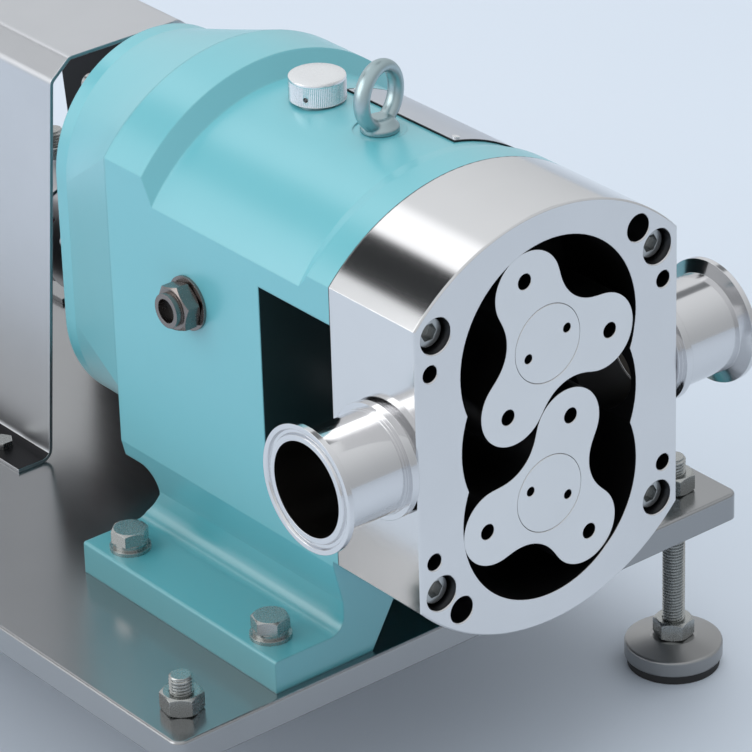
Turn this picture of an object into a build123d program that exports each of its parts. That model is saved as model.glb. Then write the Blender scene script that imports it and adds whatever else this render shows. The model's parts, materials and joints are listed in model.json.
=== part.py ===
from build123d import *
import os
from math import acos, cos, degrees, pi, radians, sin, sqrt, tan

# A rotary lobe pump on its base plate: a stainless pump head with two
# three-lobe rotors, a cast gearbox that holds the shafts, bearings and timing
# gears, a shaft coupling under a sheet guard, and four levelling feet.
# Millimetres. X to the right of the pump seen from its front, +Z up, and the
# rotors face -Y. The origin is on the floor, under the middle of the whole.

# ---- Layout ---------------------------------------------------------------
port_height = 237.4          # port axis above the floor
shaft_distance = 80.0        # between the two shafts, which stand one above the other
running_gap = 0.3            # between pieces that turn and pieces that stand
slip = 0.02                  # radial clearance of a seated ring or hub on its shaft

# ---- Base plate and feet --------------------------------------------------
plate_width = 364.0
plate_length = 600.0
plate_setback = 61.1         # front edge of the plate behind the pump's front face
plate_top = 104.3            # top face above the floor
plate_skirt = 14.7           # height of the folded edge
plate_sheet = 4.0
plate_corner = 6.0
plate_edge_round = 1.6
rib_width = 30.0
rib_height = 8.0
rib_front = 95.0             # rib centres from the plate's front edge
rib_middle = 330.0
rib_rear = 495.0
stud_radius = 6.0
stud_inset_side = 22.4       # foot centre from the plate's side edge
stud_inset_end = 25.3        # foot centre from the plate's end edge
stud_above_plate = 19.0
stud_bottom = 9.0
thread_clearance = 0.06
hex_land = 0.95              # flat top of a hexagon, as a share of its width across flats
nut_width = 19.0             # across flats
nut_height = 10.0
plate_nut_turns = (20.0, 50.0, 5.0, 35.0)      # how each nut happens to stand
foot_nut_turns = (0.0, 25.0, 12.0, 44.0)
pad_radius = 24.5
pad_height = 4.6
disc_radius = 26.0
disc_edge_top = 13.6
disc_top = 17.0
disc_boss_radius = 12.5
disc_rim_round = 1.5

# ---- Pump casing ----------------------------------------------------------
casing_radius = 110.0
casing_half_width = 81.2     # flats cut from the round, left and right
casing_depth = 61.6
casing_edge = 0.8
chamber_radius = 54.5
chamber_depth = 50.0
seal_lip_radius = 19.0
seal_lip = 2.0
seal_bore_radius = 23.0
port_setback = 24.6          # port axis behind the front face
port_passage_radius = 21.0
screw_x = 68.3
screw_z = 67.9
counterbore_radius = 9.0
counterbore_depth = 15.3
cover_hole_x = 72.1          # tapped holes for the front cover
cover_hole_z = 49.6
cover_hole_radius = 4.25
cover_hole_depth = 18.0
locating_hole_x = 56.2
locating_hole_z = 81.7
locating_hole_radius = 6.9
locating_hole_depth = 16.0
mouth_chamfer = 0.5         # of every hole in the front face

# ---- Casing screws --------------------------------------------------------
screw_radius = 5.0
screw_hole_radius = 5.5
screw_head_radius = 8.0
screw_head_height = 10.0
screw_socket_width = 8.0
screw_socket_depth = 5.0
screw_grip = 14.0            # thread length in the gearbox

# ---- Ports ----------------------------------------------------------------
port_reach = 127.3           # clamp face from the pump's middle
port_bore_radius = 23.8
port_tube_radius = 25.4
clamp_radius = 32.0
clamp_rim = 2.85
clamp_taper = 20.0           # degrees
gasket_groove_radius = 28.1
gasket_groove_half_width = 1.5
gasket_groove_depth = 1.5
collar_radius = 29.0
neck_radius = 26.0
neck_length = 2.5
collar_length = 4.0
step_length = 1.5

# ---- Rotors ---------------------------------------------------------------
lobe_count = 3
rotor_radius = 54.0
rotor_relief = 0.2           # taken off each rotor's outline
rotor_recess = 1.0           # rotor face behind the casing face
rotor_rear_gap = 0.6
rotor_turn = 39.5            # a lobe of the upper rotor, left of straight down
lobe_hole_circle = 39.3
lobe_hole_radius = 4.0
lobe_hole_depth = 20.0
cap_radius = 20.0
cap_depth = 8.0
cap_seat_clearance = 0.15
cap_hole_circle = 12.7
cap_hole_radius = 2.4
cap_hole_depth = 5.0
rotor_edge = 0.25           # chamfer round the caps and the rotors' holes
upper_cap_turn = 19.0
lower_cap_turn = -23.5

# ---- Shafts (distances are behind the pump's front face) -------------------
rotor_seat_radius = 14.0
seal_shaft_radius = 16.0
bearing_bore_radius = 17.5
shoulder_radius = 22.0
gear_seat_radius = 19.0
coupling_shaft_radius = 15.0
nose_radius = 8.0
nose_length = 4.7
bearing_shaft_start = 106.0
gear_start = 196.0
gear_width = 30.0
shaft_tail = 291.0
drive_shaft_end = 372.0
key_width = 8.0
key_height = 7.0

# ---- Mechanical seals -----------------------------------------------------
seat_bore_radius = 16.5
seal_ring_radius = 21.0
seal_ring_length = 10.0
spring_radius = 18.6
spring_wire_radius = 1.1
spring_length = 14.0
spring_turns = 4
seal_collar_length = 9.5

# ---- Bearings -------------------------------------------------------------
bearing_radius = 36.0
bearing_width = 17.0
inner_race_radius = 23.5
outer_race_radius = 30.0
ball_count = 9
ball_radius = 5.55
race_clearance = 0.35
cage_half_thickness = 1.5
cage_width = 8.0
front_bearing_start = 127.0
rear_bearing_start = 262.0

# ---- Timing gears ---------------------------------------------------------
tooth_count = 32
pressure_angle = 20.0
tooth_backlash = 0.3         # each tooth is this much thinner at the pitch circle

# ---- Gearbox housing ------------------------------------------------------
flange_back = 78.0           # rear of the front flange's full radius
saddle_start = 84.5
saddle_radius = 98.3
saddle_rise = 11.2           # its centre above the port axis
saddle_end = 199.0
shoulder_back = 206.5
crown_radius = 102.8         # of the higher rear section
crown_rise = 17.2            # its centre above the port axis
housing_back = 236.8
window_back = 116.0
window_half_height = 54.5
seal_room_radius = 25.0
front_wall_back = 150.0
sump_half_width = 66.0
sump_radius = 87.0
seal_pocket_radius = 26.0
seal_pocket_depth = 8.0
lip_step_radius = 29.5
pedestal_front = 65.8
pedestal_waist = 75.9        # half width where the pedestal is narrowest
pedestal_flank_end = 77.0    # height under the port axis where the flank turns in
pedestal_waist_rise = 16.5   # of the waist above the foot's top
foot_half_width = 118.5
foot_back = 221.8
foot_thickness = 17.6
foot_root_radius = 9.0
arch_half_width = 59.0
arch_top_half_width = 38.6
arch_round = 8.0
arch_height = 35.1           # above the base plate
ledge_height = 86.0          # underside of the rear overhang, below the port axis
column_back = 213.5          # rear of the pedestal's column under that ledge
column_round = 11.0
column_slope_top = 14.5      # above the foot's top
column_slope_bottom = 2.5
belly_front = 205.0
belly_radius = 90.0          # rounded underside round the lower gear
belly_drop = 97.0            # its lowest line below the port axis
foot_bolt_x = 104.2
foot_bolt_front = 87.4
foot_bolt_rear = 201.3
foot_edge_round = 1.5

# ---- Rear cover -----------------------------------------------------------
cover_radius = 63.3          # round each shaft
cover_taper_end = 297.0
cover_back = 305.7
cover_room_radius = 46.0
cover_wall_front = 256.0
nut_room_radius = 31.0
cover_screw_x = 35.4
cover_screw_z = 82.1
cover_side_screw_x = 55.0
cover_screw_radius = 3.0
cover_screw_head_radius = 5.0
cover_screw_head = 6.0
cover_screw_grip = 16.0
boss_radius = 10.5
side_boss_radius = 12.5
boss_length = 34.0
lip_length = 8.0
lock_nut_length = 10.0
lock_nut_radius = 26.0
lock_nut_slot = 5.0
spacer_radius = 24.0
rear_lip_start = 295.0
cover_screw_socket = 5.0

# ---- Fittings on the gearbox ----------------------------------------------
sight_setback = 172.3
sight_height = 25.1          # above the port axis
sight_hex = 22.0
sight_hex_length = 9.0
sight_rim_radius = 8.8
sight_rim_length = 3.5
sight_bore_radius = 6.2
sight_lens_depth = 5.0
sight_washer_radius = 14.0
sight_washer = 1.5
sight_thread_radius = 8.0
sight_thread_length = 17.0
sight_lens_thickness = 3.0
sight_hex_turn = 15.0
drain_setback = 190.0
drain_drop = 60.0            # below the port axis
drain_hex = 17.0
drain_hex_length = 8.0
drain_washer_radius = 11.0
drain_washer = 1.5
breather_setback = 169.2
crown_spot_face = 0.8
breather_neck_radius = 11.0
breather_neck_height = 1.1
breather_spigot_radius = 7.0
breather_spigot_height = 7.0
breather_thread_radius = 6.0
breather_thread_length = 12.0
breather_passage_radius = 2.5
breather_cap_edge = 0.5
crown_seat_radius = 13.2
breather_cap_radius = 14.3
breather_cap_height = 12.2
vent_radius = 1.3
vent_height = 4.3
vent_direction = -152.5
eye_setback = 121.7
eye_collar_radius = 9.6
eye_collar_height = 3.0
eye_ring_radius = 14.7
eye_ring_half_thickness = 3.3
eye_ring_half_width = 4.3
eye_ring_rounding = 3.2
eye_ring_height = 126.9      # ring centre above the port axis
eye_turn = 17.0
eye_thread_radius = 4.0
eye_thread_length = 12.0
eye_neck_radius = 7.6
eye_neck_height = 3.5
eye_neck_taper = 20.0
nameplate_start = 10.6       # degrees from the top, towards the right
nameplate_end = 52.0
nameplate_lift = 0.05        # film of adhesive under the plate
nameplate_front = 88.0
nameplate_length = 82.0
nameplate_thickness = 0.8
rivet_radius = 1.2
rivet_head_radius = 2.0
rivet_head = 0.8
rivet_length = 6.0
rivet_inset = 4.0
rivet_inset_angle = 2.4       # degrees

# ---- Foot bolts -----------------------------------------------------------
foot_bolt_radius = 5.0
foot_hole_radius = 5.5
foot_hex = 17.0
foot_hex_height = 7.0
flat_washer_radius = 10.5
flat_washer = 2.0
spring_washer_radius = 8.8
spring_washer = 2.6
foot_nut_height = 6.0
spring_washer_slit = 1.6
foot_bolt_turns = (12.0, 40.0, 5.0, 22.0)

# ---- Coupling, guard and motor seat ----------------------------------------
hub_radius = 29.0
hub_start = 340.0
jaw_length = 14.0
jaw_inner_radius = 15.0
jaw_angle = 36.0
arm_angle = 22.5
spider_length = 10.0
spider_hole_radius = 9.0
motor_hub_end = 420.0
motor_bore_radius = 12.0
guard_start = 329.0
guard_end = 462.0
guard_sheet = 2.0
guard_foot_half_width = 84.0
guard_base_half_width = 64.0
guard_side_half_width = 47.5
guard_side_height = 80.0     # top of the side above the port axis
guard_top_half_width = 35.0
guard_top_height = 90.5      # top above the port axis
guard_bend = 5.0
guard_screw_x = 75.0
guard_screw_inset = 27.0     # from the guard's ends
guard_screw_radius = 3.0
guard_screw_hex = 10.0
guard_screw_height = 4.0
motor_shaft_height = 90.0
motor_bolt_x = 70.0
motor_bolt_front = 493.0
motor_bolt_spacing = 125.0
motor_bolt_radius = 5.0
motor_pad_width = 44.0
motor_pad_overhang = 20.0

# ---- Worked out from the above ---------------------------------------------
whole_front = port_setback - clamp_radius
whole_back = plate_setback + plate_length - stud_inset_end + disc_radius
front_y = -(whole_front + whole_back) / 2
upper_z = port_height + shaft_distance / 2
lower_z = port_height - shaft_distance / 2
drive_z = lower_z
plate_front = plate_setback
plate_back = plate_setback + plate_length
foot_top = plate_top + foot_thickness
rotor_back = chamber_depth - rotor_rear_gap
seal_face = casing_depth
ring_start = seal_face + running_gap
spring_start = ring_start + seal_ring_length
collar_start = spring_start + spring_length
spacer_start = gear_start + gear_width
lock_nut_start = rear_bearing_start + bearing_width
ball_circle = (inner_race_radius + outer_race_radius) / 2
motor_hub_start = drive_shaft_end + jaw_length
crown_seat = port_height + saddle_rise + saddle_radius - crown_spot_face
os.makedirs("parts", exist_ok=True)


def back(distance):
    """World Y of a plane that lies a distance behind the pump's front face."""
    return front_y + distance


def upright(distance):
    """A drawing plane parallel to the front face, x to the right and y up."""
    return Plane.XZ.offset(-back(distance))


def along_shaft(height):
    """A drawing plane on a shaft's axis: x runs backwards, y is the radius."""
    return Plane(origin=(0, front_y, height), x_dir=(0, 1, 0), z_dir=(1, 0, 0))


def shaft_axis(height):
    return Axis((0, front_y, height), (0, 1, 0))


def turned(stations, height, bore=0.0):
    """A turned piece on a shaft's axis from (start, end, radius) stations."""
    with BuildPart() as piece:
        with BuildSketch(along_shaft(height)):
            for start, end, radius in stations:
                with Locations(((start + end) / 2, (radius + bore) / 2)):
                    Rectangle(end - start, radius - bore)
        revolve(axis=shaft_axis(height))
    return piece.part


def ring_sectors(inner, outer, sweep, count, start):
    """Equal sectors of a flat ring about the origin."""
    with BuildSketch() as sectors:
        for turn in range(count):
            first = start + turn * 360 / count - sweep / 2
            with BuildLine():
                outer_arc = CenterArc((0, 0), outer, first, sweep)
                inner_arc = CenterArc((0, 0), inner, first, sweep)
                Line(outer_arc @ 0, inner_arc @ 0)
                Line(outer_arc @ 1, inner_arc @ 1)
            make_face()
    return sectors.sketch


def chamfered_hex(width, height, bore=0.0, both_ends=True):
    """A hexagon head or nut standing on the XY plane, its corners turned off at 30 degrees."""
    corner = width / sqrt(3)
    land = width / 2 * hex_land
    fall = (corner - land) * tan(radians(30))
    base = [(land, 0), (corner, fall)] if both_ends else [(corner, 0)]
    with BuildPart() as piece:
        with BuildSketch():
            RegularPolygon(width / 2, 6, major_radius=False)
            if bore:
                Circle(bore, mode=Mode.SUBTRACT)
        extrude(amount=height)
        with BuildSketch(Plane.XZ):
            with BuildLine():
                Polyline((0, 0), *base, (corner, height - fall), (land, height), (0, height), close=True)
            make_face()
        revolve(axis=Axis.Z, mode=Mode.INTERSECT)
    return piece.part


foot_centres = [
    (side * (plate_width / 2 - stud_inset_side), back(station))
    for side in (-1, 1)
    for station in (plate_front + stud_inset_end, plate_back - stud_inset_end)
]
foot_bolt_centres = [
    (side * foot_bolt_x, back(station))
    for side in (-1, 1)
    for station in (foot_bolt_front, foot_bolt_rear)
]
guard_screw_centres = [
    (side * guard_screw_x, back(station))
    for side in (-1, 1)
    for station in (guard_start + guard_screw_inset, guard_end - guard_screw_inset)
]
motor_bolt_centres = [
    (side * motor_bolt_x, back(station))
    for side in (-1, 1)
    for station in (motor_bolt_front, motor_bolt_front + motor_bolt_spacing)
]
rivet_planes = [
    Plane(
        origin=(0, back(station), port_height + saddle_rise),
        x_dir=(0, 1, 0),
        z_dir=(sin(radians(turn)), 0, cos(radians(turn))),
    )
    for station in (nameplate_front + rivet_inset, nameplate_front + nameplate_length - rivet_inset)
    for turn in (nameplate_start + rivet_inset_angle, nameplate_end - rivet_inset_angle)
]
corner_screw_centres = [
    (side * screw_x, port_height + level * screw_z) for side in (-1, 1) for level in (-1, 1)
]
cover_screw_centres = [
    (side * cover_screw_x, port_height + level * cover_screw_z) for side in (-1, 1) for level in (-1, 1)
]
cover_side_screw_centres = [(side * cover_side_screw_x, port_height) for side in (-1, 1)]

# ---- Base plate ------------------------------------------------------------
plate_middle = back(plate_front + plate_length / 2)
with BuildPart() as base_plate:
    with BuildSketch(Plane.XY.offset(plate_top)):
        with Locations((0, plate_middle)):
            RectangleRounded(plate_width, plate_length, plate_corner)
    extrude(amount=-plate_skirt)
    fillet(base_plate.faces().sort_by(Axis.Z)[-1].edges(), plate_edge_round)
    with BuildSketch(Plane.XY.offset(plate_top - plate_sheet)):
        with Locations((0, plate_middle)):
            Rectangle(plate_width - 2 * plate_sheet, plate_length - 2 * plate_sheet)
    extrude(amount=-plate_skirt, mode=Mode.SUBTRACT)
    with BuildSketch(Plane.XY.offset(plate_top)):
        with Locations(*foot_centres):
            Circle(stud_radius + thread_clearance)
        with Locations(*foot_bolt_centres):
            Circle(foot_hole_radius)
        with Locations(*guard_screw_centres):
            Circle(guard_screw_radius + thread_clearance)
        with Locations(*motor_bolt_centres):
            Circle(motor_bolt_radius)
    extrude(amount=-plate_sheet, mode=Mode.SUBTRACT)
base_plate.part.label = "base_plate"
export_step(base_plate.part, "parts/base_plate.step")

with BuildPart() as base_ribs:
    with BuildSketch(Plane.XY.offset(plate_top - plate_sheet)):
        for station in (rib_front, rib_middle, rib_rear):
            with Locations((0, back(plate_front + station))):
                Rectangle(plate_width - 2 * plate_sheet, rib_width)
    extrude(amount=-rib_height)
base_ribs.part.label = "base_ribs"
export_step(base_ribs.part, "parts/base_ribs.step")

with BuildPart() as motor_pads:
    with BuildSketch(Plane.XY.offset(plate_top)):
        pad_middle = back(motor_bolt_front + motor_bolt_spacing / 2)
        with Locations((-motor_bolt_x, pad_middle), (motor_bolt_x, pad_middle)):
            Rectangle(motor_pad_width, motor_bolt_spacing + 2 * motor_pad_overhang)
        with Locations(*motor_bolt_centres):
            Circle(motor_bolt_radius, mode=Mode.SUBTRACT)
    extrude(amount=drive_z - motor_shaft_height - plate_top)
motor_pads.part.label = "motor_pads"
export_step(motor_pads.part, "parts/motor_pads.step")

# ---- Levelling feet ----------------------------------------------------------
with BuildPart() as levelling_studs:
    with BuildSketch(Plane.XY.offset(stud_bottom)):
        with Locations(*foot_centres):
            Circle(stud_radius)
    extrude(amount=plate_top + stud_above_plate - stud_bottom)
    chamfer(levelling_studs.faces().sort_by(Axis.Z)[-4:].edges(), 1.0)
levelling_studs.part.label = "levelling_studs"
export_step(levelling_studs.part, "parts/levelling_studs.step")

one_nut = chamfered_hex(nut_width, nut_height, stud_radius + thread_clearance)
with BuildPart() as plate_nuts:
    for (x, y), turn in zip(foot_centres, plate_nut_turns):
        with Locations((x, y, plate_top)):
            add(one_nut, rotation=(0, 0, turn))
plate_nuts.part.label = "plate_nuts"
export_step(plate_nuts.part, "parts/plate_nuts.step")

with BuildPart() as foot_nuts:
    for (x, y), turn in zip(foot_centres, foot_nut_turns):
        with Locations((x, y, disc_top)):
            add(one_nut, rotation=(0, 0, turn))
foot_nuts.part.label = "foot_nuts"
export_step(foot_nuts.part, "parts/foot_nuts.step")

with BuildPart() as one_disc:
    with BuildSketch(Plane.XZ) as disc_section:
        with BuildLine():
            Polyline(
                (0, pad_height),
                (disc_radius, pad_height),
                (disc_radius, disc_edge_top),
                (disc_boss_radius, disc_top),
                (0, disc_top),
                close=True,
            )
        make_face()
        fillet(disc_section.vertices().sort_by(Axis.X)[-2:], disc_rim_round)
    revolve(axis=Axis.Z)
    with Locations((0, 0, disc_top)):
        Hole(stud_radius + thread_clearance, disc_top - stud_bottom)
with BuildPart() as foot_discs:
    for x, y in foot_centres:
        with Locations((x, y, 0)):
            add(one_disc.part)
foot_discs.part.label = "foot_discs"
export_step(foot_discs.part, "parts/foot_discs.step")

with BuildPart() as foot_pads:
    with BuildSketch():
        with Locations(*foot_centres):
            Circle(pad_radius)
    extrude(amount=pad_height)
foot_pads.part.label = "foot_pads"
export_step(foot_pads.part, "parts/foot_pads.step")

# ---- Pump casing -------------------------------------------------------------
with BuildPart() as pump_casing:
    with BuildSketch(upright(0)):
        with Locations((0, port_height)):
            Circle(casing_radius)
            Rectangle(2 * casing_half_width, 2 * casing_radius, mode=Mode.INTERSECT)
    extrude(amount=-casing_depth)
    chamfer(pump_casing.faces().sort_by(Axis.Y)[0].edges(), casing_edge)
    with BuildSketch(upright(0)):
        with Locations((0, upper_z), (0, port_height), (0, lower_z)):
            Circle(chamber_radius)
    extrude(amount=-chamber_depth, mode=Mode.SUBTRACT)
    with BuildSketch(upright(chamber_depth)):
        with Locations((0, upper_z), (0, lower_z)):
            Circle(seal_lip_radius)
    extrude(amount=-(casing_depth - chamber_depth), mode=Mode.SUBTRACT)
    with BuildSketch(upright(chamber_depth + seal_lip)):
        with Locations((0, upper_z), (0, lower_z)):
            Circle(seal_bore_radius)
    extrude(amount=-(casing_depth - chamber_depth - seal_lip), mode=Mode.SUBTRACT)
    with BuildSketch(Plane.YZ.offset(-casing_half_width)):
        with Locations((back(port_setback), port_height)):
            Circle(port_passage_radius)
    extrude(amount=2 * casing_half_width, mode=Mode.SUBTRACT)
    with BuildSketch(upright(0)):
        with Locations(*corner_screw_centres):
            Circle(counterbore_radius)
    extrude(amount=-counterbore_depth, mode=Mode.SUBTRACT)
    with BuildSketch(upright(counterbore_depth)):
        with Locations(*corner_screw_centres):
            Circle(screw_hole_radius)
    extrude(amount=-(casing_depth - counterbore_depth), mode=Mode.SUBTRACT)
    with BuildSketch(upright(0)):
        with Locations((0, port_height)):
            with GridLocations(2 * cover_hole_x, 2 * cover_hole_z, 2, 2):
                Circle(cover_hole_radius)
    extrude(amount=-cover_hole_depth, mode=Mode.SUBTRACT)
    with BuildSketch(upright(0)):
        with Locations(
            (locating_hole_x, port_height + locating_hole_z),
            (-locating_hole_x, port_height - locating_hole_z),
        ):
            Circle(locating_hole_radius)
    extrude(amount=-locating_hole_depth, mode=Mode.SUBTRACT)
    front_edges = pump_casing.faces().sort_by(Axis.Y)[0].inner_wires().edges().filter_by(GeomType.CIRCLE)
    chamfer(front_edges.filter_by(lambda edge: edge.radius <= counterbore_radius), mouth_chamfer)
pump_casing.part.label = "pump_casing"
export_step(pump_casing.part, "parts/pump_casing.step")

with BuildPart() as casing_screws:
    with BuildSketch(upright(counterbore_depth - screw_head_height)):
        with Locations(*corner_screw_centres):
            Circle(screw_head_radius)
    extrude(amount=-screw_head_height)
    chamfer(casing_screws.faces().sort_by(Axis.Y)[:4].edges(), 0.8)
    with BuildSketch(upright(counterbore_depth)):
        with Locations(*corner_screw_centres):
            Circle(screw_radius)
    extrude(amount=-(casing_depth - counterbore_depth + screw_grip))
    with BuildSketch(upright(counterbore_depth - screw_head_height)):
        with Locations(*corner_screw_centres):
            RegularPolygon(screw_socket_width / 2, 6, major_radius=False)
    extrude(amount=-screw_socket_depth, mode=Mode.SUBTRACT)
casing_screws.part.label = "casing_screws"
export_step(casing_screws.part, "parts/casing_screws.step")

# ---- Clamp ports: a tube with a clamp flange, welded to the casing's side ------
taper_run = (clamp_radius - port_tube_radius) * tan(radians(clamp_taper))
neck_start = casing_half_width
collar_at = neck_start + neck_length
step_at = collar_at + collar_length
for side, port_name in ((-1, "left_port"), (1, "right_port")):
    port_plane = Plane(origin=(0, back(port_setback), port_height), x_dir=(side, 0, 0), z_dir=(0, -side, 0))
    with BuildPart() as port:
        with BuildSketch(port_plane):
            with BuildLine():
                Polyline(
                    (neck_start, port_bore_radius),
                    (neck_start, neck_radius),
                    (collar_at, neck_radius),
                    (collar_at, collar_radius),
                    (step_at, collar_radius),
                    (step_at, neck_radius),
                    (step_at + step_length, neck_radius),
                    (step_at + step_length, port_tube_radius),
                    (port_reach - clamp_rim - taper_run, port_tube_radius),
                    (port_reach - clamp_rim, clamp_radius),
                    (port_reach, clamp_radius),
                    (port_reach, gasket_groove_radius + gasket_groove_half_width),
                    (port_reach - gasket_groove_depth, gasket_groove_radius + gasket_groove_half_width / 2),
                    (port_reach - gasket_groove_depth, gasket_groove_radius - gasket_groove_half_width / 2),
                    (port_reach, gasket_groove_radius - gasket_groove_half_width),
                    (port_reach, port_bore_radius),
                    close=True,
                )
            make_face()
        revolve(axis=Axis((0, back(port_setback), port_height), (1, 0, 0)))
    port.part.label = port_name
    export_step(port.part, f"parts/{port_name}.step")

# ---- Rotors ------------------------------------------------------------------
# Each lobe's tip is an arc. The hollow between two lobes is the path that the
# other rotor's tip arc cuts as both turn, so the two stay clear by the same
# gap all the way round.
pitch_radius = shaft_distance / 2
half_lobe = pi / (2 * lobe_count)
tip_centre = (rotor_radius**2 - pitch_radius**2) / (2 * (rotor_radius - pitch_radius * cos(half_lobe)))
tip_radius = rotor_radius - tip_centre
hollow_steps = 12


def hollow_point(turn):
    """Point of the hollow cut when the other rotor's lobe stands at this turn."""
    arc_x = tip_centre * cos(turn)
    arc_y = tip_centre * sin(turn)
    reach = sqrt((pitch_radius - arc_x) ** 2 + arc_y**2)
    cut = tip_radius + rotor_relief
    touch_x = arc_x + cut * (pitch_radius - arc_x) / reach
    touch_y = arc_y - cut * arc_y / reach
    own_x = shaft_distance - touch_x
    own_y = touch_y
    return (
        own_x * cos(turn) + own_y * sin(turn),
        -own_x * sin(turn) + own_y * cos(turn),
    )


def rotor_outline():
    """The rotor's outline with one lobe along +x."""
    hollow = [hollow_point(half_lobe * (2 * step / hollow_steps - 1)) for step in range(hollow_steps + 1)]
    with BuildSketch() as outline:
        with BuildLine():
            for lobe in range(lobe_count):
                hollow_turn = (2 * lobe + 1) * half_lobe * 2
                lobe_turn = (2 * lobe + 2) * half_lobe * 2
                placed = [
                    (
                        x * cos(hollow_turn) - y * sin(hollow_turn),
                        x * sin(hollow_turn) + y * cos(hollow_turn),
                    )
                    for x, y in sorted(hollow, key=lambda point: point[1])
                ]
                Spline(*placed)
                first_x, first_y = min(hollow, key=lambda point: point[1])
                next_turn = hollow_turn + 4 * half_lobe
                tip = rotor_radius - rotor_relief
                ThreePointArc(
                    placed[-1],
                    (tip * cos(lobe_turn), tip * sin(lobe_turn)),
                    (
                        first_x * cos(next_turn) - first_y * sin(next_turn),
                        first_x * sin(next_turn) + first_y * cos(next_turn),
                    ),
                )
        make_face()
    return outline.sketch


rotor_face = rotor_outline()
lobe_pitch = 360 / lobe_count
upper_lobe_turn = -90 - rotor_turn
lower_lobe_turn = 90 - (lobe_pitch / 2 - rotor_turn)
for rotor_name, height, lobe_turn in (
    ("upper_rotor", upper_z, upper_lobe_turn),
    ("lower_rotor", lower_z, lower_lobe_turn),
):
    with BuildPart() as rotor:
        with BuildSketch(upright(rotor_recess)):
            with Locations((0, height)):
                add(rotor_face, rotation=lobe_turn)
        extrude(amount=-(rotor_back - rotor_recess))
        with BuildSketch(upright(rotor_recess)):
            with Locations((0, height)):
                Circle(cap_radius + cap_seat_clearance)
        extrude(amount=-cap_depth, mode=Mode.SUBTRACT)
        with BuildSketch(upright(rotor_recess + cap_depth)):
            with Locations((0, height)):
                Circle(rotor_seat_radius + slip)
            with Locations((0, height + rotor_seat_radius)):
                Rectangle(key_width, key_height)
        extrude(amount=-(rotor_back - rotor_recess - cap_depth), mode=Mode.SUBTRACT)
        with BuildSketch(upright(rotor_recess)):
            with Locations((0, height)):
                with PolarLocations(lobe_hole_circle, lobe_count, start_angle=lobe_turn):
                    Circle(lobe_hole_radius)
        extrude(amount=-lobe_hole_depth, mode=Mode.SUBTRACT)
        round_edges = rotor.faces().sort_by(Axis.Y)[0].inner_wires().edges().filter_by(GeomType.CIRCLE)
        chamfer(round_edges, rotor_edge)
    rotor.part.label = rotor_name
    export_step(rotor.part, f"parts/{rotor_name}.step")

for cap_name, height, cap_turn in (
    ("upper_rotor_cap", upper_z, upper_cap_turn),
    ("lower_rotor_cap", lower_z, lower_cap_turn),
):
    with BuildPart() as rotor_cap:
        with BuildSketch(upright(rotor_recess)):
            with Locations((0, height)):
                Circle(cap_radius)
        extrude(amount=-cap_depth)
        with BuildSketch(upright(rotor_recess)):
            with Locations((0, height)):
                with PolarLocations(cap_hole_circle, 2, start_angle=cap_turn):
                    Circle(cap_hole_radius)
        extrude(amount=-cap_hole_depth, mode=Mode.SUBTRACT)
        chamfer(rotor_cap.faces().sort_by(Axis.Y)[0].edges(), rotor_edge)
        with BuildSketch(upright(rotor_recess + cap_depth)):
            with Locations((0, height)):
                Circle(nose_radius + slip)
        extrude(amount=nose_length + slip, mode=Mode.SUBTRACT)
    rotor_cap.part.label = cap_name
    export_step(rotor_cap.part, f"parts/{cap_name}.step")

# ---- Shafts and keys -----------------------------------------------------------
shaft_nose = rotor_recess + cap_depth
stepped_shaft = [
    (shaft_nose - nose_length, shaft_nose, nose_radius),
    (shaft_nose, rotor_back, rotor_seat_radius),
    (rotor_back, bearing_shaft_start, seal_shaft_radius),
    (bearing_shaft_start, front_bearing_start + bearing_width, bearing_bore_radius),
    (front_bearing_start + bearing_width, gear_start, shoulder_radius),
    (gear_start, rear_bearing_start, gear_seat_radius),
    (rear_bearing_start, shaft_tail, bearing_bore_radius),
]
rotor_key = (shaft_nose + 3, rotor_back - 3, rotor_seat_radius)
gear_key = (gear_start + 3, spacer_start - 3, gear_seat_radius)
hub_key = (hub_start + 2, drive_shaft_end - 2, coupling_shaft_radius)
shafts = (
    ("drive", lower_z, stepped_shaft + [(shaft_tail, drive_shaft_end, coupling_shaft_radius)],
     (rotor_key, gear_key, hub_key)),
    ("driven", upper_z, stepped_shaft, (rotor_key, gear_key)),
)
for shaft_name, height, stations, keys in shafts:
    with BuildPart() as shaft:
        add(turned(stations, height))
        for start, end, radius in keys:
            with BuildSketch(upright(start)):
                with Locations((0, height + radius)):
                    Rectangle(key_width, key_height)
            extrude(amount=-(end - start), mode=Mode.SUBTRACT)
    shaft.part.label = f"{shaft_name}_shaft"
    export_step(shaft.part, f"parts/{shaft_name}_shaft.step")
    with BuildPart() as shaft_keys:
        for start, end, radius in keys:
            with BuildSketch(upright(start)):
                with Locations((0, height + radius)):
                    Rectangle(key_width - 2 * slip, key_height - 2 * slip)
            extrude(amount=-(end - start))
    shaft_keys.part.label = f"{shaft_name}_keys"
    export_step(shaft_keys.part, f"parts/{shaft_name}_keys.step")

# ---- Mechanical seals -----------------------------------------------------------
with BuildPart() as seal_seats:
    for height in (upper_z, lower_z):
        seat_step = (chamber_depth + seal_lip, casing_depth, seal_bore_radius - slip)
        add(turned([seat_step], height, seat_bore_radius))
seal_seats.part.label = "seal_seats"
export_step(seal_seats.part, "parts/seal_seats.step")

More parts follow.
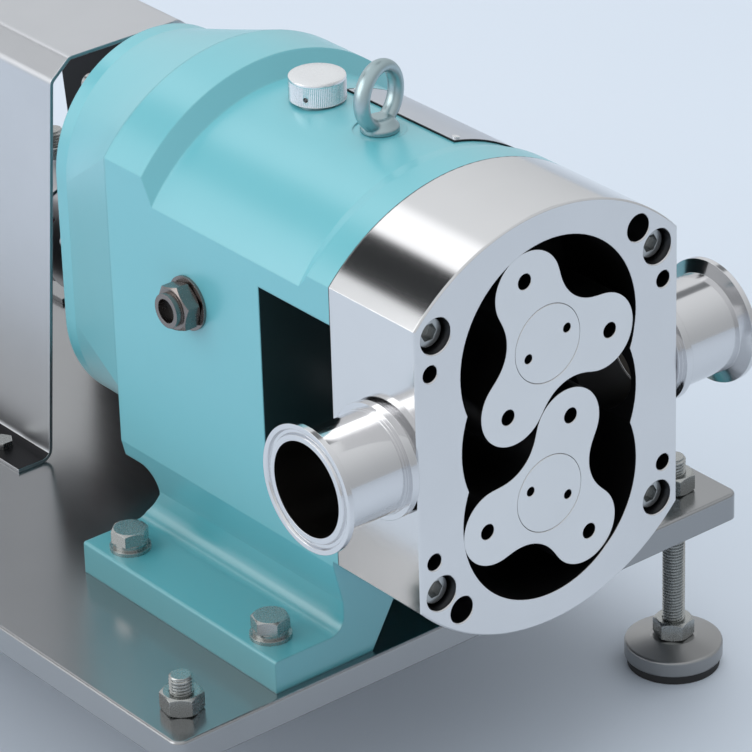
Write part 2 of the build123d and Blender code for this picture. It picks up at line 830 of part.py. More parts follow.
for shaft_name, height in (("drive", lower_z), ("driven", upper_z)):
    with BuildPart() as seal_ring:
        add(turned([(ring_start, spring_start, seal_ring_radius)], height, seal_shaft_radius + slip))
    seal_ring.part.label = f"{shaft_name}_seal_ring"
    export_step(seal_ring.part, f"parts/{shaft_name}_seal_ring.step")

    coil_length = spring_length - 2 * spring_wire_radius - 2 * slip
    coil_middle = (0, back(spring_start + spring_wire_radius + slip), height)
    with BuildPart() as seal_spring:
        with BuildLine() as coil:
            Helix(
                coil_length / spring_turns,
                coil_length,
                spring_radius,
                center=coil_middle,
                direction=(0, 1, 0),
            )
        with BuildSketch(Plane(origin=coil.line @ 0, z_dir=coil.line % 0)):
            Circle(spring_wire_radius)
        sweep(path=coil.line, is_frenet=True)
    seal_spring.part.label = f"{shaft_name}_seal_spring"
    export_step(seal_spring.part, f"parts/{shaft_name}_seal_spring.step")

    with BuildPart() as seal_collar:
        add(turned([(collar_start, collar_start + seal_collar_length, seal_ring_radius)],
                   height, seal_shaft_radius + slip))
    seal_collar.part.label = f"{shaft_name}_seal_collar"
    export_step(seal_collar.part, f"parts/{shaft_name}_seal_collar.step")

# ---- Bearings --------------------------------------------------------------------
bearing_starts = (front_bearing_start, rear_bearing_start)
groove_radius = ball_radius + race_clearance


def race(inner, outer, height, start):
    """A bearing ring with its ball groove."""
    with BuildPart() as ring:
        with BuildSketch(along_shaft(height)):
            with Locations((start + bearing_width / 2, (inner + outer) / 2)):
                Rectangle(bearing_width, outer - inner)
            with Locations((start + bearing_width / 2, ball_circle)):
                Circle(groove_radius, mode=Mode.SUBTRACT)
        revolve(axis=shaft_axis(height))
    return ring.part


with BuildPart() as bearing_outer_rings:
    for height in (upper_z, lower_z):
        for start in bearing_starts:
            add(race(outer_race_radius, bearing_radius - slip, height, start))
bearing_outer_rings.part.label = "bearing_outer_rings"
export_step(bearing_outer_rings.part, "parts/bearing_outer_rings.step")

for shaft_name, height in (("drive", lower_z), ("driven", upper_z)):
    with BuildPart() as inner_rings:
        for start in bearing_starts:
            add(race(bearing_bore_radius + slip, inner_race_radius, height, start))
    inner_rings.part.label = f"{shaft_name}_inner_rings"
    export_step(inner_rings.part, f"parts/{shaft_name}_inner_rings.step")

    with BuildPart() as ball_sets:
        for start in bearing_starts:
            middle = start + bearing_width / 2
            add(turned(
                [(middle - cage_width / 2, middle + cage_width / 2, ball_circle + cage_half_thickness)],
                height,
                ball_circle - cage_half_thickness,
            ))
        for start in bearing_starts:
            with Locations(Plane(origin=(0, back(start + bearing_width / 2), height), z_dir=(0, -1, 0))):
                with PolarLocations(ball_circle, ball_count):
                    Sphere(ball_radius)
    ball_sets.part.label = f"{shaft_name}_ball_sets"
    export_step(ball_sets.part, f"parts/{shaft_name}_ball_sets.step")

# ---- Timing gears: involute teeth, in mesh at rest ----------------------------------
gear_module = shaft_distance / tooth_count
base_circle = pitch_radius * cos(radians(pressure_angle))
tip_circle = pitch_radius + gear_module
root_circle = pitch_radius - 1.25 * gear_module
tooth_pitch = 2 * pi / tooth_count
half_tooth = (pi * gear_module / 2 - tooth_backlash) / (2 * pitch_radius)


def half_angle(radius):
    """Half of a tooth's angle at a radius, on its involute flank."""
    slope = acos(min(1.0, base_circle / radius))
    start = radians(pressure_angle)
    return half_tooth + (tan(start) - start) - (tan(slope) - slope)


def ring_point(radius, angle):
    """A point on a circle about the gear's axis."""
    return (radius * cos(angle), radius * sin(angle))


flank_steps = 5
flank_rise = (tip_circle - base_circle) / flank_steps
flank_radii = [base_circle + flank_rise * step for step in range(flank_steps + 1)]
with BuildSketch() as gear_outline:
    with BuildLine():
        for tooth in range(tooth_count):
            middle = tooth * tooth_pitch
            first_flank = [ring_point(r, middle - half_angle(r)) for r in flank_radii]
            next_flank = [ring_point(r, middle + half_angle(r)) for r in flank_radii]
            root_half = half_angle(base_circle)
            next_root = middle + tooth_pitch - root_half
            root_start = (root_circle * cos(middle - root_half), root_circle * sin(middle - root_half))
            root_end = (root_circle * cos(middle + root_half), root_circle * sin(middle + root_half))
            Line(root_start, first_flank[0])
            Spline(*first_flank)
            Line(first_flank[-1], next_flank[-1])
            Spline(*reversed(next_flank))
            Line(next_flank[0], root_end)
            Line(root_end, (root_circle * cos(next_root), root_circle * sin(next_root)))
    make_face()
gear_face = gear_outline.sketch
half_pitch = degrees(tooth_pitch) / 2

for shaft_name, height, gear_turn in (("drive", lower_z, 0), ("driven", upper_z, half_pitch)):
    with BuildPart() as timing_gear:
        with BuildSketch(upright(gear_start)):
            with Locations((0, height)):
                add(gear_face, rotation=gear_turn)
                Circle(gear_seat_radius + slip, mode=Mode.SUBTRACT)
            with Locations((0, height + gear_seat_radius)):
                Rectangle(key_width, key_height, mode=Mode.SUBTRACT)
        extrude(amount=-gear_width)
    timing_gear.part.label = f"{shaft_name}_gear"
    export_step(timing_gear.part, f"parts/{shaft_name}_gear.step")

    with BuildPart() as spacer:
        add(turned([(spacer_start, rear_bearing_start, spacer_radius)], height, gear_seat_radius + slip))
    spacer.part.label = f"{shaft_name}_spacer"
    export_step(spacer.part, f"parts/{shaft_name}_spacer.step")

    with BuildPart() as lock_nut:
        add(turned([(lock_nut_start, lock_nut_start + lock_nut_length, lock_nut_radius)],
                   height, bearing_bore_radius + slip))
        with BuildSketch(upright(lock_nut_start)):
            with Locations((0, height)):
                with PolarLocations(lock_nut_radius, 4):
                    Rectangle(2 * lock_nut_slot, lock_nut_slot)
        extrude(amount=-lock_nut_length, mode=Mode.SUBTRACT)
    lock_nut.part.label = f"{shaft_name}_lock_nut"
    export_step(lock_nut.part, f"parts/{shaft_name}_lock_nut.step")

# ---- Gearbox housing ---------------------------------------------------------------
above = (Align.CENTER, Align.MIN)
below = (Align.CENTER, Align.MAX)

# The pedestal and its feet: the front view and the side view cut from one block.
with BuildPart() as pedestal:
    with BuildSketch(upright(pedestal_front)) as pedestal_face:
        with BuildLine():
            Polyline(
                (-casing_half_width, port_height),
                (-casing_half_width, port_height - pedestal_flank_end),
                (-pedestal_waist, foot_top + pedestal_waist_rise),
                (-pedestal_waist, foot_top),
                (-foot_half_width, foot_top),
                (-foot_half_width, plate_top),
                (-arch_half_width, plate_top),
                (-arch_top_half_width, plate_top + arch_height),
                (arch_top_half_width, plate_top + arch_height),
                (arch_half_width, plate_top),
                (foot_half_width, plate_top),
                (foot_half_width, foot_top),
                (pedestal_waist, foot_top),
                (pedestal_waist, foot_top + pedestal_waist_rise),
                (casing_half_width, port_height - pedestal_flank_end),
                (casing_half_width, port_height),
                close=True,
            )
        make_face()
        corners = pedestal_face.vertices()
        roots = corners.filter_by_position(Axis.Y, foot_top - 0.1, foot_top + 0.1)
        roots = roots.filter_by_position(Axis.X, -pedestal_waist - 0.1, pedestal_waist + 0.1)
        fillet(roots, foot_root_radius)
        rims = pedestal_face.vertices().filter_by_position(Axis.Y, foot_top - 0.1, foot_top + 0.1)
        fillet([rims.sort_by(Axis.X)[0], rims.sort_by(Axis.X)[-1]], foot_edge_round)
        crown = pedestal_face.vertices().filter_by_position(
            Axis.Y, plate_top + arch_height - 0.1, plate_top + arch_height + 0.1
        )
        fillet(crown, arch_round)
    extrude(amount=-(housing_back - pedestal_front))
    with BuildSketch(Plane.YZ.offset(-foot_half_width - 1)):
        with BuildLine():
            ledge = port_height - ledge_height
            bend = (1 - sqrt(0.5)) * column_round
            Line((back(pedestal_front), port_height), (back(pedestal_front), plate_top))
            Line((back(pedestal_front), plate_top), (back(foot_back), plate_top))
            Line((back(foot_back), plate_top), (back(foot_back), foot_top + column_slope_bottom))
            Line(
                (back(foot_back), foot_top + column_slope_bottom),
                (back(column_back), foot_top + column_slope_top),
            )
            Line(
                (back(column_back), foot_top + column_slope_top),
                (back(column_back), ledge - column_round),
            )
            ThreePointArc(
                (back(column_back), ledge - column_round),
                (back(column_back) + bend, ledge - bend),
                (back(column_back) + column_round, ledge),
            )
            Line((back(column_back) + column_round, ledge), (back(housing_back), ledge))
            Line((back(housing_back), ledge), (back(housing_back), port_height))
            Line((back(housing_back), port_height), (back(pedestal_front), port_height))
        make_face()
    extrude(amount=2 * foot_half_width + 2, mode=Mode.INTERSECT)

with BuildPart() as gearbox_housing:
    # front flange
    with BuildSketch(upright(casing_depth)):
        with Locations((0, port_height)):
            Circle(casing_radius)
            Rectangle(2 * casing_half_width, 2 * casing_radius, mode=Mode.INTERSECT)
    extrude(amount=-(flange_back - casing_depth))
    # sloping rear edge of the flange
    with BuildSketch(upright(flange_back)):
        with Locations((0, port_height)):
            Circle(casing_radius)
            Rectangle(2 * casing_half_width, casing_radius, align=above, mode=Mode.INTERSECT)
    with BuildSketch(upright(saddle_start)):
        with Locations((0, port_height + saddle_rise)):
            Circle(saddle_radius)
        with Locations((0, port_height)):
            Rectangle(2 * casing_half_width, 2 * saddle_radius, align=above, mode=Mode.INTERSECT)
    loft()
    # round saddle, flush with the flange at the crown and lower than it at the sides
    with BuildSketch(upright(saddle_start)):
        with Locations((0, port_height + saddle_rise)):
            Circle(saddle_radius)
        with Locations((0, port_height)):
            Rectangle(2 * casing_half_width, 2 * saddle_radius, align=above, mode=Mode.INTERSECT)
    extrude(amount=-(saddle_end - saddle_start))
    # sloping shoulder up to the higher rear section
    with BuildSketch(upright(saddle_end)):
        with Locations((0, port_height + saddle_rise)):
            Circle(saddle_radius)
        with Locations((0, port_height)):
            Rectangle(2 * casing_half_width, 2 * saddle_radius, align=above, mode=Mode.INTERSECT)
    with BuildSketch(upright(shoulder_back)):
        with Locations((0, port_height + crown_rise)):
            Circle(crown_radius)
        with Locations((0, port_height)):
            Rectangle(2 * casing_half_width, 2 * crown_radius, align=above, mode=Mode.INTERSECT)
    loft()
    with BuildSketch(upright(shoulder_back)):
        with Locations((0, port_height + crown_rise)):
            Circle(crown_radius)
        with Locations((0, port_height)):
            Rectangle(2 * casing_half_width, 2 * crown_radius, align=above, mode=Mode.INTERSECT)
    extrude(amount=-(housing_back - shoulder_back))
    # rounded belly under the lower gear
    with BuildSketch(upright(belly_front)):
        with Locations((0, port_height + belly_radius - belly_drop)):
            Circle(belly_radius)
        with Locations((0, port_height)):
            Rectangle(2 * casing_half_width, 2 * crown_radius, align=below, mode=Mode.INTERSECT)
    extrude(amount=-(housing_back - belly_front))
    # pedestal and feet
    add(pedestal.part)
    # side windows, open from one side to the other and forward to the casing
    with BuildSketch(upright(casing_depth)):
        with Locations((0, port_height)):
            Rectangle(2 * foot_half_width, 2 * window_half_height)
    extrude(amount=-(window_back - casing_depth), mode=Mode.SUBTRACT)
    with BuildSketch(upright(casing_depth)):
        with Locations((0, upper_z), (0, lower_z)):
            Circle(seal_room_radius)
    extrude(amount=-(window_back - casing_depth), mode=Mode.SUBTRACT)
    # gear chamber
    with BuildSketch(upright(front_wall_back)):
        with Locations((0, port_height)):
            Circle(sump_radius)
            Rectangle(2 * sump_half_width, 2 * sump_radius, mode=Mode.INTERSECT)
    extrude(amount=-(housing_back - front_wall_back), mode=Mode.SUBTRACT)
    with BuildSketch(upright(housing_back - boss_length)):
        with Locations(*cover_screw_centres):
            Circle(boss_radius)
        with Locations(*cover_side_screw_centres):
            Circle(side_boss_radius)
    extrude(amount=-boss_length)
    # seal and bearing bores in the front wall
    with BuildSketch(upright(window_back)):
        with Locations((0, upper_z), (0, lower_z)):
            Circle(seal_pocket_radius)
    extrude(amount=-seal_pocket_depth, mode=Mode.SUBTRACT)
    with BuildSketch(upright(window_back + seal_pocket_depth)):
        with Locations((0, upper_z), (0, lower_z)):
            Circle(lip_step_radius)
    extrude(amount=-(front_bearing_start - window_back - seal_pocket_depth), mode=Mode.SUBTRACT)
    with BuildSketch(upright(front_bearing_start)):
        with Locations((0, upper_z), (0, lower_z)):
            Circle(bearing_radius)
    extrude(amount=-(front_wall_back - front_bearing_start), mode=Mode.SUBTRACT)
    # tapped holes for the casing screws and the cover screws
    with BuildSketch(upright(casing_depth)):
        with Locations(*corner_screw_centres):
            Circle(screw_radius + slip)
    extrude(amount=-(screw_grip + 2), mode=Mode.SUBTRACT)
    with BuildSketch(upright(housing_back - cover_screw_grip - 2)):
        with Locations(*cover_screw_centres, *cover_side_screw_centres):
            Circle(cover_screw_radius + slip)
    extrude(amount=-(cover_screw_grip + 2), mode=Mode.SUBTRACT)
    # foot bolt holes
    with BuildSketch(Plane.XY.offset(plate_top)):
        with Locations(*foot_bolt_centres):
            Circle(foot_hole_radius)
    extrude(amount=foot_thickness, mode=Mode.SUBTRACT)
    # seats on the crown for the breather and the eye bolt
    with BuildSketch(Plane.XY.offset(crown_seat)):
        with Locations((0, back(breather_setback)), (0, back(eye_setback))):
            Circle(crown_seat_radius)
    extrude(amount=2 * crown_spot_face, mode=Mode.SUBTRACT)
    with BuildSketch(Plane.XY.offset(crown_seat)):
        with Locations((0, back(breather_setback))):
            Circle(breather_thread_radius + slip)
    extrude(amount=-(crown_seat - port_height - sump_radius + 2), mode=Mode.SUBTRACT)
    with BuildSketch(Plane.XY.offset(crown_seat)):
        with Locations((0, back(eye_setback))):
            Circle(eye_thread_radius + slip)
    extrude(amount=-(eye_thread_length + 1), mode=Mode.SUBTRACT)
    # sight glass and drain holes
    with BuildSketch(Plane.YZ.offset(-casing_half_width)):
        with Locations((back(sight_setback), port_height + sight_height)):
            Circle(sight_thread_radius + slip)
    extrude(amount=casing_half_width - sump_half_width + 2, mode=Mode.SUBTRACT)
    with BuildSketch(Plane.YZ.offset(casing_half_width)):
        with Locations((back(drain_setback), port_height - drain_drop)):
            Circle(sight_thread_radius + slip)
    extrude(amount=-(casing_half_width - sump_half_width + 6), mode=Mode.SUBTRACT)
    # rivet holes of the nameplate
    for rivet_plane in rivet_planes:
        with BuildSketch(rivet_plane.offset(saddle_radius - rivet_length)):
            Circle(rivet_radius + slip)
        extrude(amount=rivet_length + 1, mode=Mode.SUBTRACT)
gearbox_housing.part.label = "gearbox_housing"
export_step(gearbox_housing.part, "parts/gearbox_housing.step")

# ---- Rear cover -----------------------------------------------------------------------
flank_top = crown_rise + sqrt(crown_radius**2 - casing_half_width**2)
belly_centre = belly_radius - belly_drop
flank_bottom = belly_centre - sqrt(belly_radius**2 - casing_half_width**2)
with BuildPart() as rear_cover:
    with BuildSketch(upright(housing_back)):
        with BuildLine():
            ThreePointArc(
                (casing_half_width, port_height + flank_top),
                (0, port_height + crown_rise + crown_radius),
                (-casing_half_width, port_height + flank_top),
            )
            Line(
                (-casing_half_width, port_height + flank_top),
                (-casing_half_width, port_height + flank_bottom),
            )
            ThreePointArc(
                (-casing_half_width, port_height + flank_bottom),
                (0, port_height - belly_drop),
                (casing_half_width, port_height + flank_bottom),
            )
            Line(
                (casing_half_width, port_height + flank_bottom),
                (casing_half_width, port_height + flank_top),
            )
        make_face()
    with BuildSketch(upright(cover_taper_end)):
        with Locations((0, port_height)):
            SlotCenterToCenter(shaft_distance, 2 * cover_radius, rotation=90)
    loft()
    with BuildSketch(upright(cover_taper_end)):
        with Locations((0, port_height)):
            SlotCenterToCenter(shaft_distance, 2 * cover_radius, rotation=90)
    extrude(amount=-(cover_back - cover_taper_end))
    with BuildSketch(upright(housing_back)):
        with Locations((0, port_height)):
            SlotCenterToCenter(shaft_distance, 2 * cover_room_radius, rotation=90)
    extrude(amount=-(cover_wall_front - housing_back), mode=Mode.SUBTRACT)
    with BuildSketch(upright(cover_wall_front)):
        with Locations((0, upper_z), (0, lower_z)):
            Circle(bearing_radius)
    extrude(amount=-(lock_nut_start - cover_wall_front), mode=Mode.SUBTRACT)
    with BuildSketch(upright(lock_nut_start)):
        with Locations((0, upper_z), (0, lower_z)):
            Circle(nut_room_radius)
    extrude(amount=-(shaft_tail + running_gap - lock_nut_start), mode=Mode.SUBTRACT)
    with BuildSketch(upright(shaft_tail)):
        with Locations((0, lower_z)):
            Circle(seal_pocket_radius)
    extrude(amount=-(cover_back - shaft_tail), mode=Mode.SUBTRACT)
    with BuildSketch(upright(housing_back)):
        with Locations(*cover_screw_centres, *cover_side_screw_centres):
            Circle(cover_screw_radius + running_gap)
    extrude(amount=-(cover_back - housing_back), mode=Mode.SUBTRACT)
rear_cover.part.label = "rear_cover"
export_step(rear_cover.part, "parts/rear_cover.step")

with BuildPart() as rear_cover_screws:
    with BuildSketch(upright(cover_back)):
        with Locations(*cover_screw_centres, *cover_side_screw_centres):
            Circle(cover_screw_head_radius)
            RegularPolygon(cover_screw_socket / 2, 6, major_radius=False, mode=Mode.SUBTRACT)
    extrude(amount=-cover_screw_head)
    with BuildSketch(upright(cover_back + cover_screw_head / 2)):
        with Locations(*cover_screw_centres, *cover_side_screw_centres):
            Circle(cover_screw_head_radius - 1)
    extrude(amount=cover_screw_head / 2)
    with BuildSketch(upright(housing_back - cover_screw_grip)):
        with Locations(*cover_screw_centres, *cover_side_screw_centres):
            Circle(cover_screw_radius)
    extrude(amount=-(cover_back - housing_back + cover_screw_grip))
rear_cover_screws.part.label = "rear_cover_screws"
export_step(rear_cover_screws.part, "parts/rear_cover_screws.step")

with BuildPart() as lip_seals:
    for height in (upper_z, lower_z):
        add(turned([(window_back + slip, window_back + seal_pocket_depth, seal_pocket_radius - slip)],
                   height, bearing_bore_radius + running_gap))
    add(turned([(rear_lip_start, rear_lip_start + lip_length, seal_pocket_radius - slip)],
               lower_z, coupling_shaft_radius + running_gap))
lip_seals.part.label = "lip_seals"
export_step(lip_seals.part, "parts/lip_seals.step")

# ---- Fittings on the gearbox ---------------------------------------------------------------
sight_plane = Plane(
    origin=(-casing_half_width, back(sight_setback), port_height + sight_height),
    x_dir=(0, -1, 0),
    z_dir=(-1, 0, 0),
)
with BuildPart() as sight_glass_washer:
    with BuildSketch(sight_plane):
        Circle(sight_washer_radius)
        Circle(sight_thread_radius + slip, mode=Mode.SUBTRACT)
    extrude(amount=sight_washer)
sight_glass_washer.part.label = "sight_glass_washer"
export_step(sight_glass_washer.part, "parts/sight_glass_washer.step")

with BuildPart() as sight_glass_body:
    with Locations(sight_plane.offset(sight_washer)):
        add(chamfered_hex(sight_hex, sight_hex_length), rotation=(0, 0, sight_hex_turn))
    with BuildSketch(sight_plane.offset(sight_washer + sight_hex_length)):
        Circle(sight_rim_radius)
    extrude(amount=sight_rim_length)
    with BuildSketch(sight_plane.offset(sight_washer)):
        Circle(sight_thread_radius)
    extrude(amount=-sight_thread_length)
    with BuildSketch(sight_plane.offset(sight_washer - sight_thread_length)):
        Circle(sight_bore_radius)
    extrude(amount=sight_thread_length + sight_hex_length + sight_rim_length, mode=Mode.SUBTRACT)
sight_glass_body.part.label = "sight_glass_body"
export_step(sight_glass_body.part, "parts/sight_glass_body.step")

sight_front = sight_washer + sight_hex_length + sight_rim_length
with BuildPart() as sight_glass_lens:
    with BuildSketch(sight_plane.offset(sight_front - sight_lens_depth)):
        Circle(sight_bore_radius - slip)
    extrude(amount=-sight_lens_thickness)
sight_glass_lens.part.label = "sight_glass_lens"
export_step(sight_glass_lens.part, "parts/sight_glass_lens.step")

drain_plane = Plane(
    origin=(casing_half_width, back(drain_setback), port_height - drain_drop),
    x_dir=(0, 1, 0),
    z_dir=(1, 0, 0),
)
with BuildPart() as drain_plug:
    with BuildSketch(drain_plane):
        Circle(drain_washer_radius)
    extrude(amount=drain_washer)
    with Locations(drain_plane.offset(drain_washer)):
        add(chamfered_hex(drain_hex, drain_hex_length, both_ends=False))
    with BuildSketch(drain_plane):
        Circle(sight_thread_radius)
    extrude(amount=-(sight_thread_length - sight_washer))
drain_plug.part.label = "drain_plug"
export_step(drain_plug.part, "parts/drain_plug.step")

neck_top = crown_seat + breather_neck_height
with BuildPart() as breather_neck:
    with BuildSketch(Plane.XY.offset(crown_seat)):
        with Locations((0, back(breather_setback))):
            Circle(breather_neck_radius)
    extrude(amount=breather_neck_height)
    with BuildSketch(Plane.XY.offset(neck_top)):
        with Locations((0, back(breather_setback))):
            Circle(breather_spigot_radius)
    extrude(amount=breather_spigot_height)
    with BuildSketch(Plane.XY.offset(crown_seat)):
        with Locations((0, back(breather_setback))):
            Circle(breather_thread_radius)
    extrude(amount=-breather_thread_length)
    with BuildSketch(Plane.XY.offset(crown_seat - breather_thread_length)):
        with Locations((0, back(breather_setback))):
            Circle(breather_passage_radius)
    extrude(
        amount=breather_thread_length + breather_neck_height + breather_spigot_height,
        mode=Mode.SUBTRACT,
    )
breather_neck.part.label = "breather_neck"
export_step(breather_neck.part, "parts/breather_neck.step")

cap_bottom = neck_top + running_gap
with BuildPart() as breather_cap:
    with BuildSketch(Plane.XY.offset(cap_bottom)):
        with Locations((0, back(breather_setback))):
            Circle(breather_cap_radius)
    extrude(amount=breather_cap_height)
    chamfer(breather_cap.faces().sort_by(Axis.Z)[-1].edges(), breather_cap_edge)
    with BuildSketch(Plane.XY.offset(cap_bottom)):
        with Locations((0, back(breather_setback))):
            Circle(breather_spigot_radius + running_gap)
    extrude(amount=breather_spigot_height + running_gap, mode=Mode.SUBTRACT)
    vent_plane = Plane(
        origin=(0, back(breather_setback), cap_bottom + vent_height),
        z_dir=(cos(radians(vent_direction)), sin(radians(vent_direction)), 0),
    )
    with BuildSketch(vent_plane.offset(breather_spigot_radius)):
        Circle(vent_radius)
    extrude(amount=breather_cap_radius, mode=Mode.SUBTRACT)
breather_cap.part.label = "breather_cap"
export_step(breather_cap.part, "parts/breather_cap.step")

eye_plane = Plane(
    origin=(0, back(eye_setback), port_height + eye_ring_height),
    x_dir=(cos(radians(eye_turn)), sin(radians(eye_turn)), 0),
    z_dir=(sin(radians(eye_turn)), -cos(radians(eye_turn)), 0),
)
ring_plane = Plane(
    origin=eye_plane.origin,
    x_dir=(0, 0, 1),
    z_dir=Vector(0, 0, 1).cross(eye_plane.z_dir),
)
with BuildPart() as eye_bolt:
    with BuildSketch(Plane.XY.offset(crown_seat)):
        with Locations((0, back(eye_setback))):
            Circle(eye_collar_radius)
    extrude(amount=eye_collar_height)
    fillet(eye_bolt.faces().sort_by(Axis.Z)[-1].edges(), 1.0)
    with BuildSketch(Plane.XY.offset(crown_seat + eye_collar_height)):
        with Locations((0, back(eye_setback))):
            Circle(eye_neck_radius)
    extrude(amount=eye_neck_height, taper=eye_neck_taper)
    with BuildSketch(ring_plane):
        with Locations((eye_ring_radius, 0)):
            RectangleRounded(2 * eye_ring_half_thickness, 2 * eye_ring_half_width, eye_ring_rounding)
    revolve(axis=Axis(eye_plane.origin, eye_plane.z_dir))
    with BuildSketch(Plane.XY.offset(crown_seat)):
        with Locations((0, back(eye_setback))):
            Circle(eye_thread_radius)
    extrude(amount=-eye_thread_length)
eye_bolt.part.label = "eye_bolt"
export_step(eye_bolt.part, "parts/eye_bolt.step")

# the nameplate is blank and follows the saddle's curve
plate_sweep = nameplate_end - nameplate_start
nameplate_base = saddle_radius + nameplate_lift
nameplate_top = nameplate_base + nameplate_thickness
with BuildPart() as nameplate:
    with BuildSketch(upright(nameplate_front)):
        with Locations((0, port_height + saddle_rise)):
            plate_middle_turn = 90 - (nameplate_start + nameplate_end) / 2
            add(ring_sectors(nameplate_base, nameplate_top, plate_sweep, 1, plate_middle_turn))
    extrude(amount=-nameplate_length)
    for rivet_plane in rivet_planes:
        with BuildSketch(rivet_plane.offset(saddle_radius - 1)):
            Circle(rivet_radius + slip)
        extrude(amount=nameplate_thickness + 2, mode=Mode.SUBTRACT)
nameplate.part.label = "nameplate"
export_step(nameplate.part, "parts/nameplate.step")

with BuildPart() as nameplate_rivets:
    for rivet_plane in rivet_planes:
        with BuildSketch(rivet_plane.offset(saddle_radius)):
            Circle(rivet_head_radius)
        extrude(amount=nameplate_thickness + rivet_head)
    with BuildSketch(upright(nameplate_front - 1)):
        with Locations((0, port_height + saddle_rise)):
            Circle(nameplate_top + slip)
    extrude(amount=-(nameplate_length + 2), mode=Mode.SUBTRACT)
    for rivet_plane in rivet_planes:
        with BuildSketch(rivet_plane.offset(saddle_radius - rivet_length + 1)):
            Circle(rivet_radius)
        extrude(amount=rivet_length - 1 + nameplate_thickness + rivet_head / 2)
nameplate_rivets.part.label = "nameplate_rivets"
export_step(nameplate_rivets.part, "parts/nameplate_rivets.step")

# ---- Foot bolts -------------------------------------------------------------------------
with BuildPart() as flat_washers:
    with BuildSketch(Plane.XY.offset(foot_top)):
        with Locations(*foot_bolt_centres):
            Circle(flat_washer_radius)
            Circle(foot_hole_radius, mode=Mode.SUBTRACT)
    extrude(amount=flat_washer)
flat_washers.part.label = "flat_washers"
export_step(flat_washers.part, "parts/flat_washers.step")

with BuildPart() as spring_washers:
    with BuildSketch(Plane.XY.offset(foot_top + flat_washer)):
        with Locations(*foot_bolt_centres):
            Circle(spring_washer_radius)
            Circle(foot_hole_radius - 0.2, mode=Mode.SUBTRACT)
            with Locations((spring_washer_radius, 0)):
                Rectangle(spring_washer_radius, spring_washer_slit, mode=Mode.SUBTRACT)
    extrude(amount=spring_washer)
spring_washers.part.label = "spring_washers"
export_step(spring_washers.part, "parts/spring_washers.step")

foot_head_bottom = foot_top + flat_washer + spring_washer
one_head = chamfered_hex(foot_hex, foot_hex_height, both_ends=False)
with BuildPart() as foot_bolts:
    for centre, turn in zip(foot_bolt_centres, foot_bolt_turns):
        with Locations((centre[0], centre[1], foot_head_bottom)):
            add(one_head, rotation=(0, 0, turn))
    with BuildSketch(Plane.XY.offset(foot_head_bottom)):
        with Locations(*foot_bolt_centres):
            Circle(foot_bolt_radius)
    extrude(amount=-(foot_head_bottom - plate_top + plate_sheet + foot_nut_height + 2))
foot_bolts.part.label = "foot_bolts"
export_step(foot_bolts.part, "parts/foot_bolts.step")

with BuildPart() as foot_bolt_nuts:
    with BuildSketch(Plane.XY.offset(plate_top - plate_sheet)):
        with Locations(*foot_bolt_centres):
            RegularPolygon(foot_hex / 2, 6, major_radius=False)
            Circle(foot_bolt_radius + slip, mode=Mode.SUBTRACT)
    extrude(amount=-foot_nut_height)
foot_bolt_nuts.part.label = "foot_bolt_nuts"
export_step(foot_bolt_nuts.part, "parts/foot_bolt_nuts.step")

# ---- Coupling -------------------------------------------------------------------------
arm_count = 2 * 3
with BuildPart() as pump_hub:
    with BuildSketch(upright(hub_start)):
        with Locations((0, lower_z)):
            Circle(hub_radius)
            Circle(coupling_shaft_radius + slip, mode=Mode.SUBTRACT)
        with Locations((0, lower_z + coupling_shaft_radius)):
            Rectangle(key_width, key_height, mode=Mode.SUBTRACT)
    extrude(amount=-(drive_shaft_end - hub_start))
    chamfer(pump_hub.edges().filter_by(GeomType.CIRCLE).sort_by(SortBy.RADIUS)[-2:], 1.0)
    with BuildSketch(upright(drive_shaft_end)):
        with Locations((0, lower_z)):
            add(ring_sectors(jaw_inner_radius, hub_radius - 1, jaw_angle, 3, 0))
    extrude(amount=-(jaw_length - 0.5))
pump_hub.part.label = "pump_hub"
export_step(pump_hub.part, "parts/pump_hub.step")

spider_start = drive_shaft_end + (jaw_length - spider_length) / 2
with BuildPart() as spider:
    with BuildSketch(upright(spider_start)):
        with Locations((0, lower_z)):
            add(ring_sectors(spider_hole_radius + 1, hub_radius - 1, arm_angle, arm_count, 30))
            Circle(jaw_inner_radius - running_gap)
            Circle(spider_hole_radius, mode=Mode.SUBTRACT)
    extrude(amount=-spider_length)
spider.part.label = "spider"
export_step(spider.part, "parts/spider.step")

with BuildPart() as motor_hub:
    with BuildSketch(upright(motor_hub_start)):
        with Locations((0, lower_z)):
            Circle(hub_radius)
            Circle(motor_bore_radius, mode=Mode.SUBTRACT)
    extrude(amount=-(motor_hub_end - motor_hub_start))
    with BuildSketch(upright(motor_hub_start - jaw_length + 0.5)):
        with Locations((0, lower_z)):
            add(ring_sectors(jaw_inner_radius, hub_radius - 1, jaw_angle, 3, 60))
    extrude(amount=-(jaw_length - 0.5))
motor_hub.part.label = "motor_hub"
export_step(motor_hub.part, "parts/motor_hub.step")

# ---- Coupling guard: one bent sheet, open at both ends ------------------------------------
guard_skin = [
    (-guard_foot_half_width, plate_top + guard_sheet),
    (-guard_base_half_width, plate_top + guard_sheet),
    (-guard_side_half_width, port_height + guard_side_height),
    (-guard_top_half_width, port_height + guard_top_height),
    (guard_top_half_width, port_height + guard_top_height),
    (guard_side_half_width, port_height + guard_side_height),
    (guard_base_half_width, plate_top + guard_sheet),
    (guard_foot_half_width, plate_top + guard_sheet),
]
with BuildPart() as coupling_guard:
    with BuildSketch(upright(guard_start)):
        with BuildLine():
            FilletPolyline(*guard_skin, radius=guard_bend)
            offset(amount=guard_sheet, side=Side.RIGHT, closed=True)
        make_face()
    extrude(amount=-(guard_end - guard_start))
    with BuildSketch(Plane.XY.offset(plate_top)):
        with Locations(*guard_screw_centres):
            Circle(guard_screw_radius + thread_clearance)
    extrude(amount=2 * guard_sheet, mode=Mode.SUBTRACT)
coupling_guard.part.label = "coupling_guard"
export_step(coupling_guard.part, "parts/coupling_guard.step")

